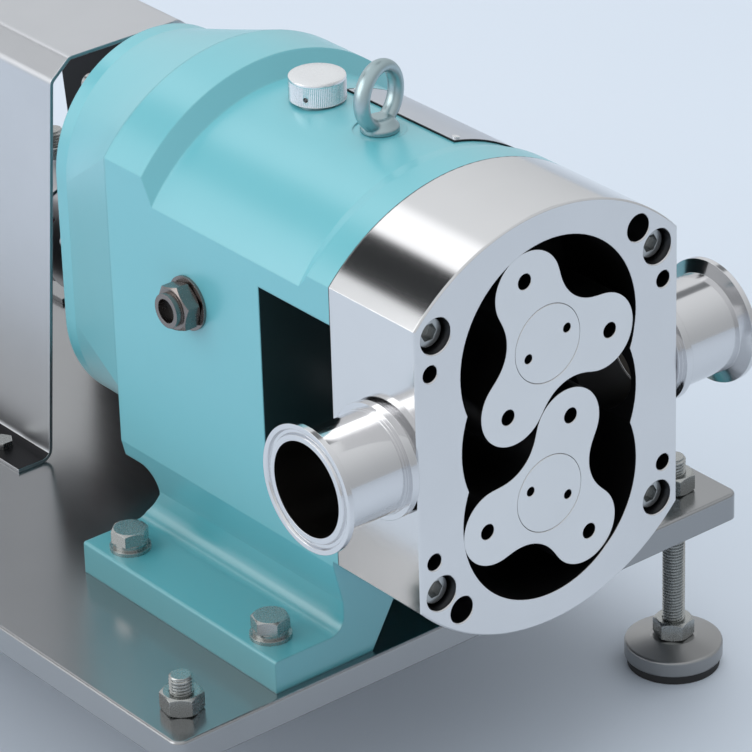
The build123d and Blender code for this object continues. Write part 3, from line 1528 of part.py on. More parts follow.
with BuildPart() as guard_screws:
    with BuildSketch(Plane.XY.offset(plate_top + guard_sheet)):
        with Locations(*guard_screw_centres):
            RegularPolygon(guard_screw_hex / 2, 6, major_radius=False)
    extrude(amount=guard_screw_height)
    with BuildSketch(Plane.XY.offset(plate_top + guard_sheet)):
        with Locations(*guard_screw_centres):
            Circle(guard_screw_radius)
    extrude(amount=-(guard_sheet + plate_sheet + 4))
guard_screws.part.label = "guard_screws"
export_step(guard_screws.part, "parts/guard_screws.step")
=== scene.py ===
# %% [markdown]
# # Dressing a rotary lobe pump
#
# The pump stands on a folded stainless base plate. A cast gearbox, painted turquoise, carries a bright
# stainless pump head, and two three-lobe rotors show in its open chamber. The solids come ready made from
# the construction model. This script gives every surface its finish, and builds the few pieces whose real
# charm is in small forms: threads, knurling and a forged eye bolt.

import bpy
import bmesh
import json
from math import atan2, cos, hypot, pi, radians, sin
from mathutils import Matrix, Quaternion, Vector

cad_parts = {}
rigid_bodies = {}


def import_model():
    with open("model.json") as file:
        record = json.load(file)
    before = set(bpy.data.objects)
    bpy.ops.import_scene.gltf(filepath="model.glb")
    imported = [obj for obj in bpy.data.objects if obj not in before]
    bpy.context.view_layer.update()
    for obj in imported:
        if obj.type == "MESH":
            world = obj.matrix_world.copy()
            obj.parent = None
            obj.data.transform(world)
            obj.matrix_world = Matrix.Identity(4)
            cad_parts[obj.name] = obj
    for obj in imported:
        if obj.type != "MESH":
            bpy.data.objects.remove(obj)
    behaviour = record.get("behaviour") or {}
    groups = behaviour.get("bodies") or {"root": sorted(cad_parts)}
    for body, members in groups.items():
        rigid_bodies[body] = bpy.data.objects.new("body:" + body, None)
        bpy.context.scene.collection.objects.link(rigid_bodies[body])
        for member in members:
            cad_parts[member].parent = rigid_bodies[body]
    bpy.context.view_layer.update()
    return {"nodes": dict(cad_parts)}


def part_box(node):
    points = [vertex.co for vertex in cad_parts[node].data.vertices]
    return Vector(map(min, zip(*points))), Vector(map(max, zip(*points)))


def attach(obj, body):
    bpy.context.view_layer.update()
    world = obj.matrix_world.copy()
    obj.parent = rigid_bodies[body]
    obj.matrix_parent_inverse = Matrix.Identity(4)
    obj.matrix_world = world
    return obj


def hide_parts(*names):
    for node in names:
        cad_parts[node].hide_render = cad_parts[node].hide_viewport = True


# the start-up file brings a cube, a lamp and a camera of its own
for leftover in list(bpy.data.objects):
    bpy.data.objects.remove(leftover)
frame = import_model()
nodes = frame["nodes"]
mm = 0.001

# %% [markdown]
# ## Places
#
# Nothing here is measured by eye. The pump head's box gives the front face and the height of the ports,
# and every later piece takes its place from the box of the solid that it belongs to.

# %% Places on the pump
casing_low, casing_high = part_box("pump_casing")
port_centre = Vector((0, casing_low.y, (casing_low.z + casing_high.z) / 2))
print("centre of the front face in mm:", [round(c / mm, 1) for c in port_centre])

# %% [markdown]
# ## Camera
#
# A long lens from far away keeps the circles of the rotors nearly round and the base plate's edges nearly
# parallel, as in a catalogue picture. The camera stands to the left of the rotors and looks down on them.

# %% Camera
view_turn = radians(38.491)
view_drop = radians(27.848)
view_roll = radians(-1.793)
view_lens = 212.2
camera_stand = Vector((-1.2043, -1.3839, 0.9944))

looking = Vector((sin(view_turn) * cos(view_drop), cos(view_turn) * cos(view_drop), -sin(view_drop)))
camera_data = bpy.data.cameras.new("camera")
camera_data.lens = view_lens
camera_data.sensor_width = 36
camera_data.clip_start = 0.05
camera_data.clip_end = 50
camera = bpy.data.objects.new("camera", camera_data)
camera.location = port_centre + camera_stand
camera.rotation_mode = "QUATERNION"
camera.rotation_quaternion = looking.to_track_quat("-Z", "Y") @ Quaternion((0, 0, 1), view_roll)
bpy.context.scene.collection.objects.link(camera)
bpy.context.scene.camera = camera
print("camera", round((camera.location - port_centre).length, 2), "m from the rotors")

# %% [markdown]
# ## Helpers for materials
#
# A material is a small tree of nodes. Six helpers keep the later cells short: one adds a node and sets its
# values, one joins two sockets, one starts a material with its shader, one shifts a colour between two tones,
# one shapes the normal, and one gives a node group its sockets. Coordinates are Object coordinates in metres,
# so a pattern has the same scale on a small nut and on the base plate.

# %% Node helpers
def add_node(tree, kind, **values):
    """A node of a kind, with its properties and its inputs set by name."""
    node = tree.nodes.new(kind)
    for name, value in values.items():
        label = name.replace("_", " ")
        if hasattr(node, name):
            setattr(node, name, value)
        else:
            socket = next(s for s in node.inputs if s.name.lower() == label.lower() and s.enabled)
            socket.default_value = value
    return node


def join(tree, source, output, target, target_input):
    """A link from one node's output to another's input."""
    tree.links.new(source.outputs[output], target.inputs[target_input])


def start_material(name, colour, metallic, roughness, **shader_values):
    """A material with its shader, and the object's coordinates for its patterns."""
    material = bpy.data.materials.new(name)
    material.use_nodes = True
    tree = material.node_tree
    tree.nodes.clear()
    output = add_node(tree, "ShaderNodeOutputMaterial")
    shader = add_node(tree, "ShaderNodeBsdfPrincipled")
    join(tree, shader, "BSDF", output, "Surface")
    shader.inputs["Base Color"].default_value = (*colour, 1)
    shader.inputs["Metallic"].default_value = metallic
    shader.inputs["Roughness"].default_value = roughness
    for socket_name, value in shader_values.items():
        shader.inputs[socket_name.replace("_", " ")].default_value = value
    place = add_node(tree, "ShaderNodeTexCoord")
    return material, tree, shader, place


def vary_colour(tree, shader, mask_node, mask_output, first, second):
    """Lets a mask shift the base colour between two tones."""
    tint = add_node(tree, "ShaderNodeMix", data_type="RGBA")
    tint.inputs[6].default_value = (*first, 1)
    tint.inputs[7].default_value = (*second, 1)
    join(tree, mask_node, mask_output, tint, 0)
    tree.links.new(tint.outputs[2], shader.inputs["Base Color"])


def bend_normal(tree, shader, edge, height_node, height_output, strength, distance):
    """Rounds the shading at edges, and adds a relief on top of it."""
    corner = add_node(tree, "ShaderNodeBevel", samples=edge[1])
    corner.inputs["Radius"].default_value = edge[0]
    relief = add_node(tree, "ShaderNodeBump")
    relief.inputs["Strength"].default_value = strength
    relief.inputs["Distance"].default_value = distance
    join(tree, height_node, height_output, relief, "Height")
    join(tree, corner, "Normal", relief, "Normal")
    join(tree, relief, "Normal", shader, "Normal")


def group_sockets(group, inputs, outputs):
    """Named sockets of a node group: inputs with a kind and a value, outputs with a kind."""
    for name, (kind, value) in inputs.items():
        socket = group.interface.new_socket(name, in_out="INPUT", socket_type="NodeSocket" + kind)
        if value is not None:
            socket.default_value = value
    for name, kind in outputs.items():
        group.interface.new_socket(name, in_out="OUTPUT", socket_type="NodeSocket" + kind)
    return group.nodes.new("NodeGroupInput"), group.nodes.new("NodeGroupOutput")


# %% [markdown]
# ## Brushing
#
# Brushed and turned metal has countless fine scratches in one direction. A noise texture that is stretched
# hard along that direction looks the same. The group gives the scratches as a value, and a slow cloudiness
# as a second value, because hands and rags never polish a surface evenly. Each metal places this group with
# its own stretch.

# %% Group: brushing
brushing = bpy.data.node_groups.new("brushing", "ShaderNodeTree")
brush_in, brush_out = group_sockets(
    brushing,
    {"Vector": ("Vector", None), "Stretch": ("Vector", (50, 1500, 1500)), "Cloud Scale": ("Float", 18.0)},
    {"Lines": "Float", "Cloud": "Float"},
)
stretched = add_node(brushing, "ShaderNodeVectorMath", operation="MULTIPLY")
scratches = add_node(brushing, "ShaderNodeTexNoise", scale=1.0, detail=3.0, roughness=0.65)
cloud = add_node(brushing, "ShaderNodeTexNoise", detail=4.0, roughness=0.6)
join(brushing, brush_in, "Vector", stretched, 0)
join(brushing, brush_in, "Stretch", stretched, 1)
join(brushing, stretched, "Vector", scratches, "Vector")
join(brushing, brush_in, "Vector", cloud, "Vector")
join(brushing, brush_in, "Cloud Scale", cloud, "Scale")
join(brushing, scratches, "Fac", brush_out, "Lines")
join(brushing, cloud, "Fac", brush_out, "Cloud")
print("brushing group:", len(brushing.nodes), "nodes")

# %% [markdown]
# ## Cast and sprayed skin
#
# Paint on a casting is never flat. The spray leaves a fine orange peel, and the casting below it is gently
# uneven over a few centimetres. The group adds both heights, and gives the slow one a second time as a mask,
# which lets the colour drift a little from patch to patch.

# %% Group: cast skin
cast_skin = bpy.data.node_groups.new("cast_skin", "ShaderNodeTree")
skin_in, skin_out = group_sockets(
    cast_skin,
    {"Vector": ("Vector", None), "Peel Scale": ("Float", 700.0), "Wave Scale": ("Float", 24.0)},
    {"Height": "Float", "Patches": "Float"},
)
peel = add_node(cast_skin, "ShaderNodeTexNoise", detail=2.0, roughness=0.5)
wave = add_node(cast_skin, "ShaderNodeTexNoise", detail=3.0, roughness=0.55)
peel_share = 0.12
skin_sum = add_node(cast_skin, "ShaderNodeMath", operation="MULTIPLY_ADD")
skin_sum.inputs[1].default_value = peel_share
join(cast_skin, skin_in, "Vector", peel, "Vector")
join(cast_skin, skin_in, "Vector", wave, "Vector")
join(cast_skin, skin_in, "Peel Scale", peel, "Scale")
join(cast_skin, skin_in, "Wave Scale", wave, "Scale")
join(cast_skin, peel, "Fac", skin_sum, 0)
join(cast_skin, wave, "Fac", skin_sum, 2)
join(cast_skin, skin_sum, "Value", skin_out, "Height")
join(cast_skin, wave, "Fac", skin_out, "Patches")
print("cast skin group:", len(cast_skin.nodes), "nodes")

# %% [markdown]
# ## Masks from places
#
# Some colours stop at a line: the pump chamber gets a painted shade behind the front face, and the gearbox
# window gets one behind its rim. Such a mask is a few comparisons of the Object coordinates. These helpers
# write the comparisons as short lines of code, and the last one paints a mask over what a shader already has.

# %% Mask helpers
def calc(tree, operation, first, second=0.0):
    """One Math node, whose inputs are numbers or sockets."""
    node = add_node(tree, "ShaderNodeMath", operation=operation)
    for socket, value in zip(node.inputs, (first, second)):
        if isinstance(value, bpy.types.NodeSocket):
            tree.links.new(value, socket)
        else:
            socket.default_value = value
    return node.outputs[0]


def all_of(tree, *masks):
    """The product of some masks."""
    product = masks[0]
    for mask in masks[1:]:
        product = calc(tree, "MULTIPLY", product, mask)
    return product


def split_place(tree, place, centre):
    """X, Y and Z from a point of the pump, as three sockets."""
    shifted = add_node(tree, "ShaderNodeVectorMath", operation="SUBTRACT")
    shifted.inputs[1].default_value = centre
    join(tree, place, "Object", shifted, 0)
    parts = add_node(tree, "ShaderNodeSeparateXYZ")
    join(tree, shifted, "Vector", parts, "Vector")
    return parts.outputs[0], parts.outputs[1], parts.outputs[2]


def distance_in_plane(tree, first, second):
    """How far a point is from the centre, measured along two of its axes."""
    flat = add_node(tree, "ShaderNodeCombineXYZ")
    tree.links.new(first, flat.inputs[0])
    tree.links.new(second, flat.inputs[1])
    reach = add_node(tree, "ShaderNodeVectorMath", operation="LENGTH")
    join(tree, flat, "Vector", reach, 0)
    return reach.outputs["Value"]


def paint_over(tree, shader, mask, colour, roughness):
    """Mixes a colour and a roughness over the present ones where the mask is 1."""
    tint = add_node(tree, "ShaderNodeMix", data_type="RGBA")
    tint.inputs[7].default_value = (*colour, 1)
    gloss = add_node(tree, "ShaderNodeMix", data_type="FLOAT")
    gloss.inputs[3].default_value = roughness
    for node, slot, name in ((tint, 6, "Base Color"), (gloss, 2, "Roughness")):
        socket = shader.inputs[name]
        if socket.links:
            tree.links.new(socket.links[0].from_socket, node.inputs[slot])
        else:
            node.inputs[slot].default_value = socket.default_value
        tree.links.new(mask, node.inputs[0])
        tree.links.new(node.outputs[2 if node is tint else 0], socket)


# %% [markdown]
# ## Metals
#
# All the metals are one recipe with other numbers: scratches shape the roughness a little and the normal a
# little, and the slow cloud shifts the colour. The Bevel node bends the shading at sharp edges, because no
# real edge is a knife. It catches the thin line of light that makes machined metal look solid.

# %% Recipe: brushed metal
scratch_depth = 0.02 * mm
smoothest = 0.02


def brushed_metal(name, colour, roughness, stretch, edge=0.4, depth=0.12, spread=0.05, shade=0.05):
    """A metal whose scratches follow the direction with the smallest stretch."""
    material, tree, shader, place = start_material(name, colour, 1.0, roughness)
    marks = add_node(tree, "ShaderNodeGroup")
    marks.node_tree = brushing
    marks.inputs["Stretch"].default_value = stretch
    join(tree, place, "Object", marks, "Vector")
    gloss = add_node(tree, "ShaderNodeMapRange")
    gloss.inputs["To Min"].default_value = max(smoothest, roughness - spread)
    gloss.inputs["To Max"].default_value = roughness + spread
    join(tree, marks, "Lines", gloss, "Value")
    join(tree, gloss, "Result", shader, "Roughness")
    darker = [c * (1 - shade) for c in colour]
    lighter = [min(1, c * (1 + shade)) for c in colour]
    vary_colour(tree, shader, marks, "Cloud", darker, lighter)
    bend_normal(tree, shader, (edge * mm, 6), marks, "Lines", depth, scratch_depth)
    return material, tree, shader, place


along_x = (60, 2400, 2400)
along_y = (2400, 40, 2400)
along_z = (2400, 2400, 60)
any_way = (900, 900, 900)
print("scratch directions: along x, y, z, and any way")

# %% [markdown]
# The casing is turned stainless steel. Its chamber lies in its own shadow, so all that is behind the front
# face and inside the outer skin gets a painted shade that is nearly black. A mask of three comparisons finds
# it.

# %% Casing metal
face_depth = 0.55 * mm
skin_depth = 1.2 * mm
casing_radius = (casing_high.z - casing_low.z) / 2
casing_half_width = (casing_high.x - casing_low.x) / 2

turned_stainless, tree, shader, place = brushed_metal(
    "turned_stainless", (0.70, 0.70, 0.705), 0.12, along_x, edge=0.5, spread=0.03
)
x, y, z = split_place(tree, place, port_centre)
chamber_shade_mask = all_of(
    tree,
    calc(tree, "GREATER_THAN", y, face_depth),
    calc(tree, "LESS_THAN", distance_in_plane(tree, x, z), casing_radius - skin_depth),
    calc(tree, "LESS_THAN", calc(tree, "ABSOLUTE", x), casing_half_width - skin_depth),
)
# painted shade: the chamber behind the front face is coloured nearly black
paint_over(tree, shader, chamber_shade_mask, (0.11, 0.11, 0.115), 0.34)
print("dark inside a radius of", round((casing_radius - skin_depth) / mm, 1), "mm")

# %% [markdown]
# The rotors are bright only on their faces. Their flanks and holes see nothing but the chamber, so they get a
# painted shade of dark steel. The mask is a single comparison with the depth behind the face.

# %% Rotor metal
rotor_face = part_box("lower_rotor")[0].y
rim_depth = 0.35 * mm
rotor_stainless, tree, shader, place = brushed_metal(
    "rotor_stainless", (0.74, 0.74, 0.74), 0.24, along_x, edge=0.35
)
y = split_place(tree, place, (0, rotor_face, 0))[1]
# painted shade: flanks and holes behind the rotor face are coloured dark steel
paint_over(tree, shader, calc(tree, "GREATER_THAN", y, rim_depth), (0.10, 0.10, 0.105), 0.30)
print("rotor faces", round((rotor_face - casing_low.y) / mm, 2), "mm behind the front face")

# %% [markdown]
# The two ports are polished outside, as food pumps are. Inside, where they lead to the chamber, they get a
# dark painted shade. The mask measures the distance from the ports' axis, and leaves their end rims bright.

# %% Port metal
port_low, port_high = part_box("left_port")
port_middle = (port_low + port_high) / 2
bore_radius = 24.1 * mm
rim_width = 0.7 * mm
polished_stainless, tree, shader, place = brushed_metal(
    "polished_stainless", (0.70, 0.70, 0.71), 0.13, along_x, edge=0.3, spread=0.03
)
x, y, z = split_place(tree, place, (0, port_middle.y, port_middle.z))
bore_shade_mask = all_of(
    tree,
    calc(tree, "LESS_THAN", distance_in_plane(tree, y, z), bore_radius),
    calc(tree, "LESS_THAN", calc(tree, "ABSOLUTE", x), -port_low.x - rim_width),
)
# painted shade: the port bores are coloured dark
paint_over(tree, shader, bore_shade_mask, (0.12, 0.11, 0.10), 0.30)
print("port bores dark up to", round((-port_low.x - rim_width) / mm, 1), "mm from the middle")

# %% [markdown]
# The base plate and the guard are folded from sheet that was brushed flat before, so their scratches run
# along the sheet. The guard is open at its ends, and its inner faces get a near-black painted shade. There
# the
# mask compares directions: where the surface looks back towards the guard's middle, it is an inner face.

# %% Sheet metal
inward_limit = -0.004
plate_stainless, *_ = brushed_metal(
    "plate_stainless", (0.34, 0.345, 0.35), 0.22, along_y, edge=0.8, depth=0.2
)
guard_stainless, tree, shader, place = brushed_metal(
    "guard_stainless", (0.60, 0.61, 0.63), 0.34, along_z, edge=0.8, depth=0.2
)
guard_middle = sum(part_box("coupling_guard"), Vector()) / 2
surface = add_node(tree, "ShaderNodeNewGeometry")
outward = add_node(tree, "ShaderNodeVectorMath", operation="SUBTRACT")
outward.inputs[1].default_value = guard_middle
join(tree, place, "Object", outward, 0)
sideways = add_node(tree, "ShaderNodeVectorMath", operation="MULTIPLY")
sideways.inputs[1].default_value = (1, 0, 1)
join(tree, outward, "Vector", sideways, 0)
facing = add_node(tree, "ShaderNodeVectorMath", operation="DOT_PRODUCT")
join(tree, sideways, "Vector", facing, 0)
join(tree, surface, "True Normal", facing, 1)
guard_inner_shade = calc(tree, "LESS_THAN", facing.outputs["Value"], inward_limit)
# painted shade: the inner faces of the guard are coloured near black
paint_over(tree, shader, guard_inner_shade, (0.02, 0.02, 0.022), 0.5)
print("middle of the guard in mm:", [round(c / mm) for c in guard_middle])

# %% [markdown]
# Screws, shafts and small turned parts need no mask. Each has its own tone, because zinc, plain steel and
# polished steel stand side by side on a real machine.

# %% Screws, shafts and small turned parts
fastener_steel, *_ = brushed_metal("fastener_steel", (0.40, 0.41, 0.40), 0.27, any_way, edge=0.35)
foot_steel, *_ = brushed_metal("foot_steel", (0.34, 0.34, 0.34), 0.32, any_way, edge=0.4)
sight_steel, *_ = brushed_metal("sight_steel", (0.23, 0.21, 0.20), 0.26, any_way, edge=0.35)
socket_steel, *_ = brushed_metal("socket_steel", (0.42, 0.43, 0.43), 0.24, any_way, edge=0.5)
machined_steel, *_ = brushed_metal("machined_steel", (0.42, 0.42, 0.44), 0.32, along_x, edge=0.4)
ground_steel, *_ = brushed_metal("ground_steel", (0.55, 0.55, 0.57), 0.18, any_way, edge=0.3)
cap_metal, *_ = brushed_metal("cap_metal", (0.86, 0.87, 0.88), 0.26, any_way, edge=0.2)
plated_metal, *_ = brushed_metal("plated_metal", (0.40, 0.50, 0.52), 0.34, any_way, edge=0.4)
print("metals so far:", len(bpy.data.materials))

# %% [markdown]
# ## Paint, rubber and the rest
#
# The turquoise enamel is a plain coloured shader under a thin clear coat. Its height comes from the cast
# skin group, and the Bevel node is set wide, as the edges of a casting are. Towards the plate the paint gets
# a painted shade: a soft mask by height mixes a darker tone in.

# %% Enamel
turquoise_enamel, tree, shader, place = start_material(
    "turquoise_enamel", (0.115, 0.455, 0.520), 0.0, 0.45, Coat_Weight=0.8, Coat_Roughness=0.25, Coat_IOR=1.9
)
skin = add_node(tree, "ShaderNodeGroup")
skin.node_tree = cast_skin
join(tree, place, "Object", skin, "Vector")
vary_colour(tree, shader, skin, "Patches", (0.108, 0.440, 0.504), (0.122, 0.468, 0.534))
bolt_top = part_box("foot_bolts")[1].z
unshaded_from = 60 * mm
darkest_shade_at = -25 * mm
z = split_place(tree, place, (0, 0, bolt_top))[2]
low_shade_mask = add_node(tree, "ShaderNodeMapRange", interpolation_type="SMOOTHSTEP")
for name, value in (("From Min", unshaded_from), ("From Max", darkest_shade_at), ("To Max", 0.75)):
    low_shade_mask.inputs[name].default_value = value
tree.links.new(z, low_shade_mask.inputs["Value"])
# painted shade: the paint turns darker towards the plate
paint_over(tree, shader, low_shade_mask.outputs["Result"], (0.045, 0.260, 0.295), 0.45)
bend_normal(tree, shader, (1.6 * mm, 8), skin, "Height", 0.35, 0.25 * mm)
print("painted shade stops at", round((bolt_top + unshaded_from) / mm), "mm above the floor")

# %% [markdown]
# The two side windows of the gearbox let a hand reach the shaft seals. They lie in shadow, and get a painted
# shade that is almost black. The joint to the pump head shows as a thin dark line, where the gasket ends
# short of the surface.

# %% Dark window and joint
window_back = 54.9 * mm
window_half_height = 54.8 * mm
joint_width = 0.5 * mm
window_edge = 0.4 * mm
x, y, z = split_place(tree, place, (0, casing_high.y, port_centre.z))
window_shade_mask = all_of(
    tree,
    calc(tree, "LESS_THAN", y, window_back),
    calc(tree, "LESS_THAN", calc(tree, "ABSOLUTE", z), window_half_height),
    calc(tree, "LESS_THAN", calc(tree, "ABSOLUTE", x), casing_half_width - window_edge),
)
# painted shade: the inside of the windows is coloured almost black
paint_over(tree, shader, window_shade_mask, (0.006, 0.028, 0.031), 0.5)
paint_over(tree, shader, calc(tree, "LESS_THAN", y, joint_width), (0.03, 0.045, 0.05), 0.6)
print("windows are", round(2 * window_half_height / mm, 1), "mm high")

# %% [markdown]
# Rubber, hard carbon and the red elastomer of the coupling are speckled solids. One recipe makes them all,
# and with a low roughness and a coarse speckle it also makes the dark lens of the sight glass.

# %% Recipe: speckled solids
def speckled_solid(name, colour, roughness, speckle_scale, relief_mm):
    """A material that isn't metal, with a speckle in its colour and its surface."""
    material, tree, shader, place = start_material(name, colour, 0.0, roughness)
    speckle = add_node(tree, "ShaderNodeTexNoise", scale=speckle_scale, detail=4.0)
    join(tree, place, "Object", speckle, "Vector")
    vary_colour(tree, shader, speckle, "Fac", [c * 0.8 for c in colour], [c * 1.25 for c in colour])
    bend_normal(tree, shader, (0.5 * mm, 4), speckle, "Fac", 0.5, relief_mm * mm)
    return material


black_rubber = speckled_solid("black_rubber", (0.018, 0.018, 0.019), 0.72, 900, 0.1)
seal_carbon = speckled_solid("seal_carbon", (0.03, 0.03, 0.033), 0.35, 2500, 0.02)
coupling_red = speckled_solid("coupling_red", (0.42, 0.05, 0.04), 0.5, 1200, 0.05)
lens_glass = speckled_solid("lens_glass", (0.008, 0.009, 0.009), 0.08, 60, 0.01)
print("materials so far:", len(bpy.data.materials))

# %% [markdown]
# The nameplate is a satin blank with one dark border line. The line follows the curve of the saddle, so its
# mask is measured along the length of the plate and by the angle about the saddle's own centre.

# %% Blank nameplate
plate_low, plate_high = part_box("nameplate")
saddle_rise = 11.2 * mm
saddle_radius = 98.3 * mm
saddle_centre = Vector((0, 0, port_centre.z + saddle_rise))
line_inset = 0.9 * mm
first_turn = atan2(plate_low.x, plate_high.z - saddle_centre.z)
last_turn = atan2(plate_high.x, plate_low.z - saddle_centre.z)
blank_plate, tree, shader, place = brushed_metal("blank_plate", (0.62, 0.65, 0.70), 0.36, along_y, edge=0.2)
x, y, z = split_place(tree, place, saddle_centre)
turn = calc(tree, "ARCTAN2", x, z)
half_length = (plate_high.y - plate_low.y) / 2
half_turn = (last_turn - first_turn) / 2
from_middle = calc(tree, "ABSOLUTE", calc(tree, "SUBTRACT", y, (plate_high.y + plate_low.y) / 2))
from_middle_turn = calc(tree, "ABSOLUTE", calc(tree, "SUBTRACT", turn, (first_turn + last_turn) / 2))
border = calc(
    tree,
    "MAXIMUM",
    calc(tree, "GREATER_THAN", from_middle, half_length - line_inset),
    calc(tree, "GREATER_THAN", from_middle_turn, half_turn - line_inset / saddle_radius),
)
paint_over(tree, shader, border, (0.03, 0.035, 0.035), 0.5)
print("nameplate runs from", round(first_turn, 3), "to", round(last_turn, 3), "radians")

# %% [markdown]
# ## Which finish each solid gets
#
# One table names the finish of every solid. A solid keeps its mesh, and only its material slots change.

# %% Finishes
finishes = {
    turquoise_enamel: ["gearbox_housing", "rear_cover"],
    turned_stainless: ["pump_casing"],
    rotor_stainless: ["upper_rotor", "lower_rotor", "upper_rotor_cap", "lower_rotor_cap"],
    polished_stainless: ["left_port", "right_port"],
    plate_stainless: ["base_plate", "base_ribs", "motor_pads"],
    guard_stainless: ["coupling_guard"],
    fastener_steel: [
        "foot_bolts", "spring_washers", "flat_washers", "foot_bolt_nuts", "guard_screws", "plate_nuts",
        "foot_nuts", "levelling_studs", "drain_plug",
    ],
    foot_steel: ["foot_discs"],
    sight_steel: ["sight_glass_body", "sight_glass_washer"],
    socket_steel: ["casing_screws", "rear_cover_screws"],
    machined_steel: [
        "drive_shaft", "driven_shaft", "drive_keys", "driven_keys", "drive_gear", "driven_gear",
        "drive_spacer", "driven_spacer", "drive_lock_nut", "driven_lock_nut", "pump_hub", "motor_hub",
        "drive_seal_ring", "driven_seal_ring", "drive_seal_collar", "driven_seal_collar",
        "drive_seal_spring", "driven_seal_spring",
    ],
    ground_steel: [
        "bearing_outer_rings", "drive_inner_rings", "driven_inner_rings", "drive_ball_sets",
        "driven_ball_sets",
    ],
    cap_metal: ["breather_cap", "breather_neck", "nameplate_rivets"],
    blank_plate: ["nameplate"],
    plated_metal: ["eye_bolt"],
    black_rubber: ["foot_pads", "lip_seals"],
    seal_carbon: ["seal_seats"],
    coupling_red: ["spider"],
    lens_glass: ["sight_glass_lens"],
}
for finish, names in finishes.items():
    for name in names:
        for material_slot in nodes[name].material_slots:
            material_slot.material = finish
unfinished = sorted(set(nodes) - {name for names in finishes.values() for name in names})
print("solids without a finish:", unfinished)

# %% [markdown]
# ## A piece from a bmesh
#
# Every new piece is shaped by bmesh operators and then turned into an object at the origin. Edges of less
# than thirty degrees are shaded smooth, and sharper ones stay crisp. The other helpers draw a section, spin
# it once round, close open rims, and apply the modifiers of a piece.

# %% Helper: finish a bmesh
def make_piece(name, mesh_in_work, material, body, replaced=(), crease=30):
    """Turns a bmesh into an object that rides on a body and stands for some solids."""
    mesh = bpy.data.meshes.new(name)
    mesh_in_work.to_mesh(mesh)
    mesh_in_work.free()
    for face in mesh.polygons:
        face.use_smooth = True
    mesh.set_sharp_from_angle(angle=radians(crease))
    mesh.materials.append(material)
    piece = bpy.data.objects.new(name, mesh)
    bpy.context.scene.collection.objects.link(piece)
    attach(piece, body)
    if replaced:
        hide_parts(*replaced)
    print(name, "has", len(mesh.polygons), "faces")
    return piece


def chain(work, points):
    """Vertices along some points, joined by edges."""
    made = [work.verts.new(point) for point in points]
    edges = [work.edges.new(pair) for pair in zip(made, made[1:])]
    return made + edges


def spin_round(work, section, steps):
    """Spins a section once round Z and welds the seam."""
    bmesh.ops.spin(
        work, geom=section, cent=(0, 0, 0), axis=(0, 0, 1), dvec=(0, 0, 0),
        angle=2 * pi, steps=steps, use_merge=True, use_duplicate=False,
    )
    bmesh.ops.remove_doubles(work, verts=work.verts, dist=0.002 * mm)


def apply_modifiers(piece):
    """Makes what the modifiers show into the piece's own mesh."""
    seen = piece.evaluated_get(bpy.context.evaluated_depsgraph_get())
    finished_mesh = bpy.data.meshes.new_from_object(seen)
    piece.modifiers.clear()
    piece.data = finished_mesh
    print(piece.name, "has", len(piece.data.polygons), "faces after its modifiers")


def everything(work):
    """All vertices, edges and faces of a bmesh."""
    return list(work.verts) + list(work.edges) + list(work.faces)


def close_ends(work):
    """Fills open rims, and turns all faces outwards."""
    rims = [edge for edge in work.edges if edge.is_boundary]
    bmesh.ops.holes_fill(work, edges=rims, sides=0)
    bmesh.ops.recalc_face_normals(work, faces=work.faces)


# %% [markdown]
# ## Threaded studs
#
# Each levelling foot is a long M12 stud. The thread could be faked with bump, but it makes the outline of
# the stud, so it is real. One tooth of the thread is drawn as four points, and a spin with a lift turns it
# into a helix: after one turn the tooth has risen by its own height, so the turns close up. Two cuts then
# trim the ends flat, and a short cone takes the sharp rim off the top.

# %% Levelling studs
stud_radius = 6 * mm
thread_pitch = 1.75 * mm
thread_depth = 1.0 * mm
steps_per_turn = 28
stud_low, stud_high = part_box("levelling_studs")
stud_length = stud_high.z - stud_low.z
tip_chamfer = 1.0 * mm
stud_places = [
    (x, y)
    for x in (stud_low.x + stud_radius, stud_high.x - stud_radius)
    for y in (stud_low.y + stud_radius, stud_high.y - stud_radius)
]


def threaded_rod(work):
    """A threaded rod along Z from 0 to the stud's length."""
    root = stud_radius - thread_depth
    tooth = chain(work, [
        (root, 0, -thread_pitch),
        (root, 0, -0.85 * thread_pitch),
        (stud_radius, 0, -0.56 * thread_pitch),
        (stud_radius, 0, -0.44 * thread_pitch),
        (root, 0, -0.15 * thread_pitch),
        (root, 0, 0),
    ])
    turns = int(stud_length / thread_pitch) + 3
    bmesh.ops.spin(
        work, geom=tooth, cent=(0, 0, 0), axis=(0, 0, 1), dvec=(0, 0, thread_pitch / steps_per_turn),
        angle=2 * pi * turns, steps=steps_per_turn * turns, use_merge=False, use_duplicate=False,
    )
    bmesh.ops.remove_doubles(work, verts=work.verts, dist=0.001 * mm)
    for height, way in ((0, -1), (stud_length, 1)):
        bmesh.ops.bisect_plane(
            work, geom=everything(work), plane_co=(0, 0, height), plane_no=(0, 0, way), clear_outer=True
        )
    for vert in work.verts:
        over = vert.co.z - (stud_length - tip_chamfer)
        reach = hypot(vert.co.x, vert.co.y)
        allowed = stud_radius - max(0, over)
        if reach > allowed:
            vert.co.x *= allowed / reach
            vert.co.y *= allowed / reach
    close_ends(work)


studs = bmesh.new()
for x, y in stud_places:
    one = bmesh.new()
    threaded_rod(one)
    bmesh.ops.translate(one, verts=one.verts, vec=(x, y, stud_low.z))
    scratch = bpy.data.meshes.new("scratch")
    one.to_mesh(scratch)
    one.free()
    studs.from_mesh(scratch)
    bpy.data.meshes.remove(scratch)
make_piece("threaded_studs", studs, fastener_steel, "feet", ["levelling_studs"])

# %% [markdown]
# ## Knurled breather cap
#
# The cap is turned, with a straight knurl for the fingers and a small vent hole. Its section is spun once
# round, with a vertex for every rib and every groove. The vertices of the knurled band then move in and out
# by turns. The vent is drilled with a Boolean.

